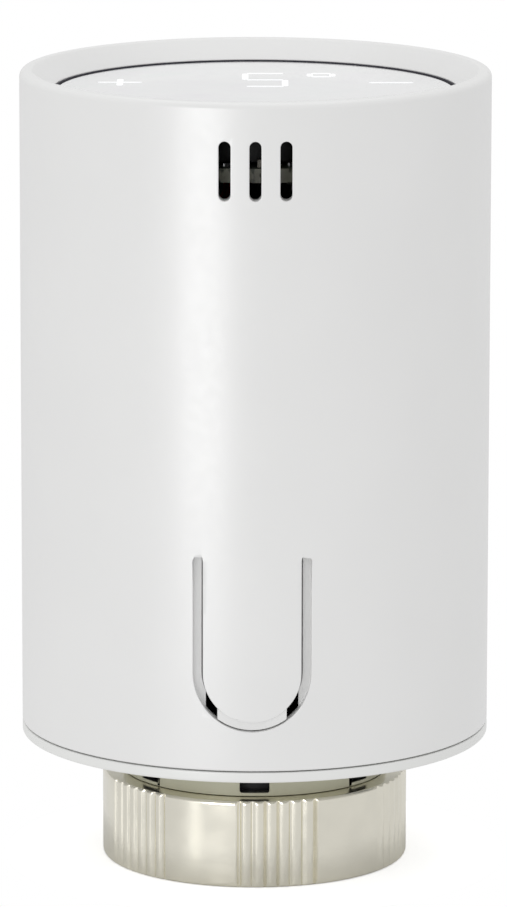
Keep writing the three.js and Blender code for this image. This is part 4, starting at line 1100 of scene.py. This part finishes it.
def coil(centre, start_r, end_r, start_z, end_z, turns, wire_r):
    """A coil spring, straight or conical."""
    steps = 48 * turns
    path = []
    for i in range(steps + 1):
        t = i / steps
        angle = TURN * turns * t
        r = start_r + (end_r - start_r) * t
        x, y = centre[0] + r * math.cos(angle), centre[1] + r * math.sin(angle)
        path.append(Vector((x, y, start_z + (end_z - start_z) * t)))
    return tube(path, wire_r)


def middle(node):
    a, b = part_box(node)
    return (a + b) / 2


# ---------------------------------------------------------------- inner frame and retainer


class HEAD_OT_inner_frame(bpy.types.Operator):
    """Build the inner frame that the sleeve slides over, and the ring that holds the nut"""

    bl_idname = "valve_head.inner_frame"
    bl_label = "Inner frame and retainer"

    def execute(self, context):
        refine("inner_frame", "white_inner", inner_plastic(), 0.12 * MM, 30)
        refine("nut_retainer", "black_plastic", dark_plastic(), 0.1 * MM)
        return {"FINISHED"}


# ---------------------------------------------------------------- drive


class HEAD_OT_drive(bpy.types.Operator):
    """Build the gearbox, its gears, the motor with its leads, and the pusher"""

    bl_idname = "valve_head.drive"
    bl_label = "Gearbox, motor and pusher"

    def execute(self, context):
        black, steel, brass, white = dark_plastic(), bright_steel(), turned_brass(), acetal()
        for node in ("gearbox_base", "gearbox_cover"):
            refine(node, "black_plastic", black)
        for node in ("output_wheel", "second_gear", "first_gear"):
            refine(node, "gear_plastic", white, 0.05 * MM)
        refine("motor_pinion", "brass", brass, 0.04 * MM)
        for node in ("first_axle", "second_axle", "thrust_washer", "motor_shaft"):
            refine(node, "steel", steel, 0.06 * MM)
        self.motor(steel, black)
        for side in ("left", "right"):
            refine(f"motor_terminal_{side}", "brass", brass, 0.08 * MM)
        refine("motor_lead_left", "lead_red", insulation("red_insulation", (0.42, 0.018, 0.014)), 0)
        refine("motor_lead_right", "lead_black", insulation("black_insulation", (0.014, 0.014, 0.015)), 0)
        self.pusher(white)
        return {"FINISHED"}

    def motor(self, steel, black):
        lo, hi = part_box("motor_can")
        axis = (0, (lo.y + hi.y) / 2)
        r, foot = hi.x, lo.z + 1.5 * MM
        bore_r, bore_z = 0.95 * MM, lo.z + 7.5 * MM
        round_r, groove = 0.8 * MM, 0.15 * MM
        outline = [(bore_r, lo.z), (2.75 * MM, lo.z), (2.9 * MM, lo.z + 0.15 * MM), (2.9 * MM, foot)]
        outline += arc((r - round_r, foot + round_r), round_r, -90, 0, 6)
        for z in (hi.z - 3.2 * MM, hi.z - 2 * MM):
            outline += [(r, z - 2 * groove), (r - groove, z - groove), (r - groove, z), (r, z + groove)]
        outline += arc((r - 0.3 * MM, hi.z - 0.3 * MM), 0.3 * MM, 0, 90, 4)
        outline += [(0, hi.z), (0, bore_z), (bore_r, bore_z)]
        can = smooth(make("motor_can_finish", lathe(outline, 96, axis), steel))
        settle(can, "base", "steel", "motor_can")
        lo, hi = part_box("motor_end_cap")
        r, step = (hi.x - lo.x) / 2, lo.z + 1.3 * MM
        outline = [(0, lo.z), (r, lo.z), (r, step - 0.3 * MM), (r - 0.3 * MM, step), (2.5 * MM, step)]
        outline += [(2.5 * MM, hi.z - 0.25 * MM), (2.25 * MM, hi.z), (0.8 * MM, hi.z)]
        outline += [(0.8 * MM, hi.z - 0.4 * MM), (0, hi.z - 0.4 * MM)]
        cap = smooth(make("motor_cap_finish", lathe(outline, 96, axis, closed=False), black))
        settle(cap, "base", "black_plastic", "motor_end_cap")

    def pusher(self, white):
        lo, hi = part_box("pusher")
        r, key, bore_r, tip = hi.y, hi.x, 3.3 * MM, 1.5 * MM
        e = 0.2 * MM
        outline = [(0, lo.z), (r - 1.4 * MM, lo.z)] + arc((r - 1.4 * MM, lo.z + e), e, -90, -34, 4)
        outline += [(r, lo.z + 0.8 * MM), (r, hi.z - e), (r - e, hi.z)]
        outline += [(bore_r + e, hi.z), (bore_r, hi.z - e)]
        outline += [(bore_r, lo.z + tip), (0, lo.z + tip)]
        pusher = make("pusher_finish", lathe(outline, 96, closed=False), white)
        keys = [box((side * bore_r * 1.2, -MM, lo.z + MM), (side * key, MM, hi.z - MM)) for side in (-1, 1)]
        for key_block in keys:
            bmesh.ops.recalc_face_normals(key_block, faces=key_block.faces)
        cut(pusher, gather(keys), "UNION")
        soften(pusher, 0.1 * MM, 50, clamp=True)
        settle(pusher, "pusher", "gear_plastic", "pusher")


# ---------------------------------------------------------------- screws


class HEAD_OT_screws(bpy.types.Operator):
    """Build the pan-head screws with their cross recesses"""

    bl_idname = "valve_head.screws"
    bl_label = "Screws"

    def execute(self, context):
        steel = bright_steel()
        for i in (1, 2, 3):
            self.screw(f"frame_screw_{i}", 2.4 * MM, 1.3 * MM, 1.1 * MM, False, 20 + 35 * i, steel)
            self.screw(f"gearbox_screw_{i}", 1.7 * MM, MM, 0.9 * MM, True, 50 * i, steel)
            self.screw(f"board_screw_{i}", 1.5 * MM, MM, 0.7 * MM, True, 25 * i, steel)
        return {"FINISHED"}

    def screw(self, node, head_r, head_height, shank_r, head_up, turn, steel):
        lo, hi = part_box(node)
        end = hi.z - lo.z
        round_r = 0.45 * head_height
        outline = [(0, 0), (0.6 * head_r, 0.02 * head_height)]
        outline += arc((head_r - round_r, round_r), round_r, -75, 0, 6)
        outline += [(head_r, 0.9 * head_height), (0.95 * head_r, head_height), (shank_r, head_height)]
        pitch = 0.7 * shank_r
        turns = int((end - head_height - 2 * shank_r) / pitch)
        for i in range(turns):
            z = head_height + pitch * (i + 0.6)
            outline += [(0.8 * shank_r, z), (shank_r, z + pitch / 2)]
        outline += [(0.8 * shank_r, end - shank_r), (0.3 * shank_r, end), (0, end)]
        bm = lathe(outline, 40, closed=False)
        screw = make(f"{node}_finish", bm, steel)
        reach, width, depth = 0.62 * head_r, 0.14 * head_r, 0.6 * head_height
        arms = [(-reach, -width), (-width, -width), (-width, -reach), (width, -reach), (width, -width)]
        arms += [(reach, -width), (reach, width), (width, width), (width, reach), (-width, reach)]
        arms += [(-width, width), (-reach, width)]
        cut(screw, slab(arms, "z", -0.2 * MM, depth))
        matrix = Matrix.Rotation(math.radians(turn), 4, "Z")
        centre = (lo + hi) / 2
        if head_up:
            over = Matrix.Rotation(math.pi, 4, "X")
            matrix = Matrix.Translation((centre.x, centre.y, hi.z)) @ over @ matrix
        else:
            matrix = Matrix.Translation((centre.x, centre.y, lo.z)) @ matrix
        screw.data.transform(matrix)
        smooth(screw, 45)
        settle(screw, "base", "steel", node)


# ---------------------------------------------------------------- cells and contacts


class HEAD_OT_cells(bpy.types.Operator):
    """Build the two cells, their contact plates and their springs"""

    bl_idname = "valve_head.cells"
    bl_label = "Cells and contacts"

    def execute(self, context):
        jacket, steel, nickel = cell_jacket(), bright_steel(), spring_nickel()
        self.cell("left", False, jacket, steel)
        self.cell("right", True, jacket, steel)
        for node in ("lower_contact_link", "upper_contact_left", "upper_contact_right"):
            refine(node, "nickel", nickel, 0.1 * MM)
        lower, upper = middle("battery_left"), middle("battery_right")
        rise, room = 0.3 * MM, 0.35 * MM
        z = high("lower_contact_link").z + GAP + room
        spring = coil(lower, 3.5 * MM, 1.3 * MM, z, z + rise, 2, GAP)
        settle(smooth(make("lower_spring", spring, nickel), 60), "base", "nickel", "lower_contact_spring")
        z = low("upper_contact_right").z - GAP - room
        spring = coil(upper, 3.5 * MM, 1.3 * MM, z, z - rise, 2, GAP)
        settle(smooth(make("upper_spring", spring, nickel), 60), "base", "nickel", "upper_contact_spring")
        return {"FINISHED"}

    def cell(self, side, upended, jacket, steel):
        lo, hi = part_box(f"battery_{side}")
        centre, length = (lo + hi) / 2, hi.z - lo.z
        r, nub_r, nub = (hi.x - lo.x) / 2, 2.75 * MM, MM
        shoulder = length - nub
        inner = r - 0.12 * MM
        wrap = [(inner - 0.7 * MM, 0.1 * MM)] + arc((r - 0.6 * MM, 0.65 * MM), 0.6 * MM, -90, 0, 6)
        wrap += arc((r - 0.6 * MM, shoulder - 0.6 * MM), 0.6 * MM, 0, 90, 6)
        wrap += [(inner - 0.9 * MM, shoulder), (inner - 0.9 * MM, shoulder - 0.12 * MM)]
        wrap += [(inner - 0.6 * MM, shoulder - 0.12 * MM), (inner, shoulder - 0.7 * MM), (inner, 0.7 * MM)]
        wrap += [(inner - 0.7 * MM, 0.25 * MM)]
        core = [(0, 0.12 * MM), (r - 2.6 * MM, 0.12 * MM), (r - 2.4 * MM, 0), (r - 1.3 * MM, 0)]
        core += [(inner - 0.75 * MM, 0.3 * MM), (inner - 0.1 * MM, 0.9 * MM)]
        core += [(inner - 0.1 * MM, shoulder - 0.8 * MM), (inner - 0.8 * MM, shoulder - 0.15 * MM)]
        core += [(nub_r + 0.3 * MM, shoulder - 0.15 * MM), (nub_r, shoulder + 0.1 * MM)]
        core += arc((nub_r - 0.3 * MM, length - 0.3 * MM), 0.3 * MM, 0, 90, 4) + [(0, length)]
        for name, outline, closed, material, slot in (
            ("jacket", wrap, True, jacket, "cell_label"), ("can", core, False, steel, "steel"),
        ):
            bm = lathe(outline, 96, closed=closed)
            if upended:
                bmesh.ops.rotate(bm, verts=bm.verts, matrix=Matrix.Rotation(math.pi, 3, "X"))
            bmesh.ops.translate(bm, verts=bm.verts, vec=(centre.x, centre.y, hi.z if upended else lo.z))
            piece = smooth(make(f"cell_{name}_{side}", bm, material), 40)
            if name == "jacket":
                settle(piece, "base", slot, f"battery_{side}")
            else:
                settle(piece, "base", slot)


# ---------------------------------------------------------------- board

PARTS_BELOW = [
    (-14, -11, 0), (-14, -9, 0), (-11.5, -12, 90), (-9, -12, 90), (-1, -4, 0), (-1, -2, 0), (2, -4, 0),
    (2, -2, 0), (5, -3, 90), (-14, -2, 0), (-14, 0, 0), (9, -3, 0), (9, -1, 0), (12, -3, 90), (14.5, 1, 0),
    (-9, 2, 90), (-6, 2, 90), (-3, 1.5, 0), (6, 2, 90), (0, -18, 0), (-8, -16.5, 90), (7, -18, 0),
]
PARTS_ABOVE = [(-5.6, -20.4, 15), (-2.9, -20.7, 8), (4.4, -20.5, -12), (7.2, -19.9, -20)]


class HEAD_OT_board(bpy.types.Operator):
    """Build the circuit board, the light shield, the display module, the touch springs and the chips"""

    bl_idname = "valve_head.board"
    bl_label = "Display board"

    def execute(self, context):
        nickel, resin, tin = spring_nickel(), chip_resin(), bright_steel()
        refine("display_board", "circuit_board", solder_mask(), 0.08 * MM)
        refine("light_shield", "black_plastic", dark_plastic(), 0.15 * MM)
        white = lamp_resin()
        refine("digit_module", "white_inner", white, 0.2 * MM)
        for node in ("plus_led", "minus_led", "icon_led"):
            refine(node, "white_inner", white, 0.1 * MM)
        refine("radio_module", "steel", tin, 0.15 * MM)
        refine("controller_chip", "chip_black", resin, 0.08 * MM)
        refine("thermistor", "chip_black", ceramic(), 0.1 * MM)
        for name, side in (("plus", -1), ("minus", 1)):
            lo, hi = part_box(f"{name}_touch_spring")
            wire, centre = 0.25 * MM, (side * 13.2 * MM, -8.6 * MM)
            spring = coil(centre, 1.5 * MM, 1.5 * MM, lo.z + wire, hi.z - wire, 3, wire)
            piece = smooth(make(f"{name}_spring", spring, nickel), 60)
            settle(piece, "base", "nickel", f"{name}_touch_spring")
        self.small_parts(resin, tin)
        return {"FINISHED"}

    def small_parts(self, resin, tin):
        lo, hi = low("display_board").z, high("display_board").z
        places = [(x, y, turn, lo - 0.5 * MM) for x, y, turn in PARTS_BELOW]
        places += [(x, y, turn, hi + 0.03 * MM) for x, y, turn in PARTS_ABOVE]
        bodies, ends = [], []
        for x, y, turn, z in places:
            spin = Matrix.Rotation(math.radians(turn), 3, "Z")
            made = [(bodies, box((-0.5 * MM, -0.38 * MM, 0), (0.5 * MM, 0.38 * MM, 0.45 * MM)))]
            for side in (-1, 1):
                a, b = sorted((side * 0.53 * MM, side * 0.78 * MM))
                made.append((ends, box((a, -0.4 * MM, 0), (b, 0.4 * MM, 0.47 * MM))))
            for group, bm in made:
                bmesh.ops.rotate(bm, verts=bm.verts, matrix=spin)
                bmesh.ops.translate(bm, verts=bm.verts, vec=(x * MM, y * MM, z))
                group.append(bm)
        for name, group, material, slot in (
            ("small_part_bodies", bodies, resin, "chip_black"), ("small_part_ends", ends, tin, "steel"),
        ):
            settle(soften(make(name, gather(group), material), 0.06 * MM, clamp=True), "base", slot)


# ---------------------------------------------------------------- stage


FLOOR_R = 29 * MM
FLOOR_LIP = 0.6 * MM           # how far the floor reaches in under the nut
FLOOR_DROP = 0.02 * MM
FLOOR_GLOW = 0.5
AIM = Vector((-0.176 * MM, 0, 47.17 * MM))

# Name, place, size across and up, power, whether it lights matt surfaces, and whether gloss shows it.
LAMPS = (
    ("strip", (-0.64, -0.63, -0.12), (0.12, 1.0), 0.21, True, True),
    ("fill", (-0.35, -0.85, 0.0), (0.6, 0.8), 0.95, True, False),
    ("sheen", (-0.075, -0.171, 0.056), (0.07, 0.118), 0.12, False, True),
    ("top", (0.0, 0.1, 0.95), (0.9, 0.9), 1.7, True, True),
)


class HEAD_OT_stage(bpy.types.Operator):
    """Set up the floor, the soft lamps, the world and the camera"""

    bl_idname = "valve_head.stage"
    bl_label = "Stage"

    def execute(self, context):
        sizes = context.scene.stage_sizes
        scene = context.scene
        scene.view_settings.view_transform = "Standard"
        self.floor(sizes)
        self.world(scene, sizes)
        for lamp in LAMPS:
            self.lamp(*lamp)
        self.camera(scene, sizes)
        return {"FINISHED"}

    def floor(self, sizes):
        """A pale ring round the nut's foot that holds the shadow, seen through from below."""
        bm = bmesh.new()
        bmesh.ops.create_circle(bm, cap_ends=True, segments=96, radius=FLOOR_R)
        bmesh.ops.inset_individual(bm, faces=bm.faces[:], thickness=FLOOR_R - NUT_R + FLOOR_LIP)
        inside = [face for face in bm.faces if len(face.verts) > 4]
        bmesh.ops.delete(bm, geom=inside, context="FACES_ONLY")
        bmesh.ops.translate(bm, verts=bm.verts, vec=(0, 0, -FLOOR_DROP))
        floor = make("floor", bm)
        material = bpy.data.materials.new("floor")
        material.use_nodes = True
        nodes, links = material.node_tree.nodes, material.node_tree.links
        nodes.remove(nodes["Principled BSDF"])
        matt = nodes.new("ShaderNodeBsdfDiffuse")
        matt.inputs["Color"].default_value = (*sizes.floor, 1)
        lift = nodes.new("ShaderNodeEmission")
        seen = nodes.new("ShaderNodeLightPath")
        glow = nodes.new("ShaderNodeMath")
        glow.operation = "MULTIPLY"
        glow.inputs[1].default_value = FLOOR_GLOW
        links.new(seen.outputs["Is Camera Ray"], glow.inputs[0])
        links.new(glow.outputs[0], lift.inputs["Strength"])
        both = nodes.new("ShaderNodeAddShader")
        links.new(matt.outputs[0], both.inputs[0])
        links.new(lift.outputs[0], both.inputs[1])
        side = nodes.new("ShaderNodeNewGeometry")
        clear = nodes.new("ShaderNodeBsdfTransparent")
        pick = nodes.new("ShaderNodeMixShader")
        links.new(side.outputs["Backfacing"], pick.inputs[0])
        links.new(both.outputs[0], pick.inputs[1])
        links.new(clear.outputs[0], pick.inputs[2])
        links.new(pick.outputs[0], nodes["Material Output"].inputs["Surface"])
        floor.data.materials.append(material)

    def world(self, scene, sizes):
        """Even light from all round, white where the camera sees it."""
        world = bpy.data.worlds.new("studio")
        scene.world = world
        world.use_nodes = True
        nodes, links = world.node_tree.nodes, world.node_tree.links
        background = nodes["Background"]
        background.inputs["Color"].default_value = (1, 1, 1, 1)
        path = nodes.new("ShaderNodeLightPath")
        strength = nodes.new("ShaderNodeMapRange")
        strength.inputs["To Min"].default_value = sizes.ambient
        strength.inputs["To Max"].default_value = 1.0
        links.new(path.outputs["Is Camera Ray"], strength.inputs["Value"])
        links.new(strength.outputs["Result"], background.inputs["Strength"])

    def lamp(self, name, place, size, power, diffuse, glossy):
        data = bpy.data.lights.new(name, "AREA")
        data.shape = "RECTANGLE"
        data.size, data.size_y = size
        data.energy = power
        lamp = bpy.data.objects.new(name, data)
        lamp.location = place
        aim = Vector((0, 0, 0.05)) - Vector(place)
        lamp.rotation_euler = aim.to_track_quat("-Z", "Y").to_euler()
        lamp.visible_camera = False
        lamp.visible_diffuse = diffuse
        lamp.visible_glossy = glossy
        bpy.context.scene.collection.objects.link(lamp)

    def camera(self, scene, sizes):
        data = bpy.data.cameras.new("camera")
        data.sensor_width = 36
        data.lens = sizes.lens
        data.clip_start, data.clip_end = 0.01, 20
        camera = bpy.data.objects.new("camera", data)
        back = Vector((0, -math.cos(sizes.pitch), math.sin(sizes.pitch)))
        turn = (-back).to_track_quat("-Z", "Y") @ Matrix.Rotation(sizes.roll, 3, "Z").to_quaternion()
        camera.location = AIM + sizes.distance * back
        camera.rotation_euler = turn.to_euler()
        scene.collection.objects.link(camera)
        scene.camera = camera


# ---------------------------------------------------------------- panel and registration


class HEAD_PT_build(bpy.types.Panel):
    """Buttons that build each piece"""

    bl_idname = "HEAD_PT_build"
    bl_label = "Valve head"
    bl_space_type = "VIEW_3D"
    bl_region_type = "UI"
    bl_category = "Valve head"

    def draw(self, context):
        for operator in OPERATORS:
            self.layout.operator(operator.bl_idname)
        for group in ("shell_sizes", "nut_sizes", "stage_sizes"):
            column = self.layout.box().column()
            values = getattr(context.scene, group)
            for name in values.__annotations__:
                column.prop(values, name)


OPERATORS = [
    HEAD_OT_stage, HEAD_OT_sleeve, HEAD_OT_display, HEAD_OT_nut, HEAD_OT_base, HEAD_OT_inner_frame,
    HEAD_OT_drive, HEAD_OT_screws, HEAD_OT_cells, HEAD_OT_board,
]
GROUPS = {"shell_sizes": ShellSizes, "nut_sizes": NutSizes, "stage_sizes": StageSizes}


def register():
    for name, group in GROUPS.items():
        bpy.utils.register_class(group)
        setattr(bpy.types.Scene, name, PointerProperty(type=group))
    for cls in (*OPERATORS, HEAD_PT_build):
        bpy.utils.register_class(cls)


def unregister():
    for cls in (HEAD_PT_build, *reversed(OPERATORS)):
        bpy.utils.unregister_class(cls)
    for name, group in GROUPS.items():
        delattr(bpy.types.Scene, name)
        bpy.utils.unregister_class(group)


def main():
    register()
    for operator in OPERATORS:
        getattr(bpy.ops.valve_head, operator.bl_idname.split(".")[1])()


if __name__ == "__main__":
    main()
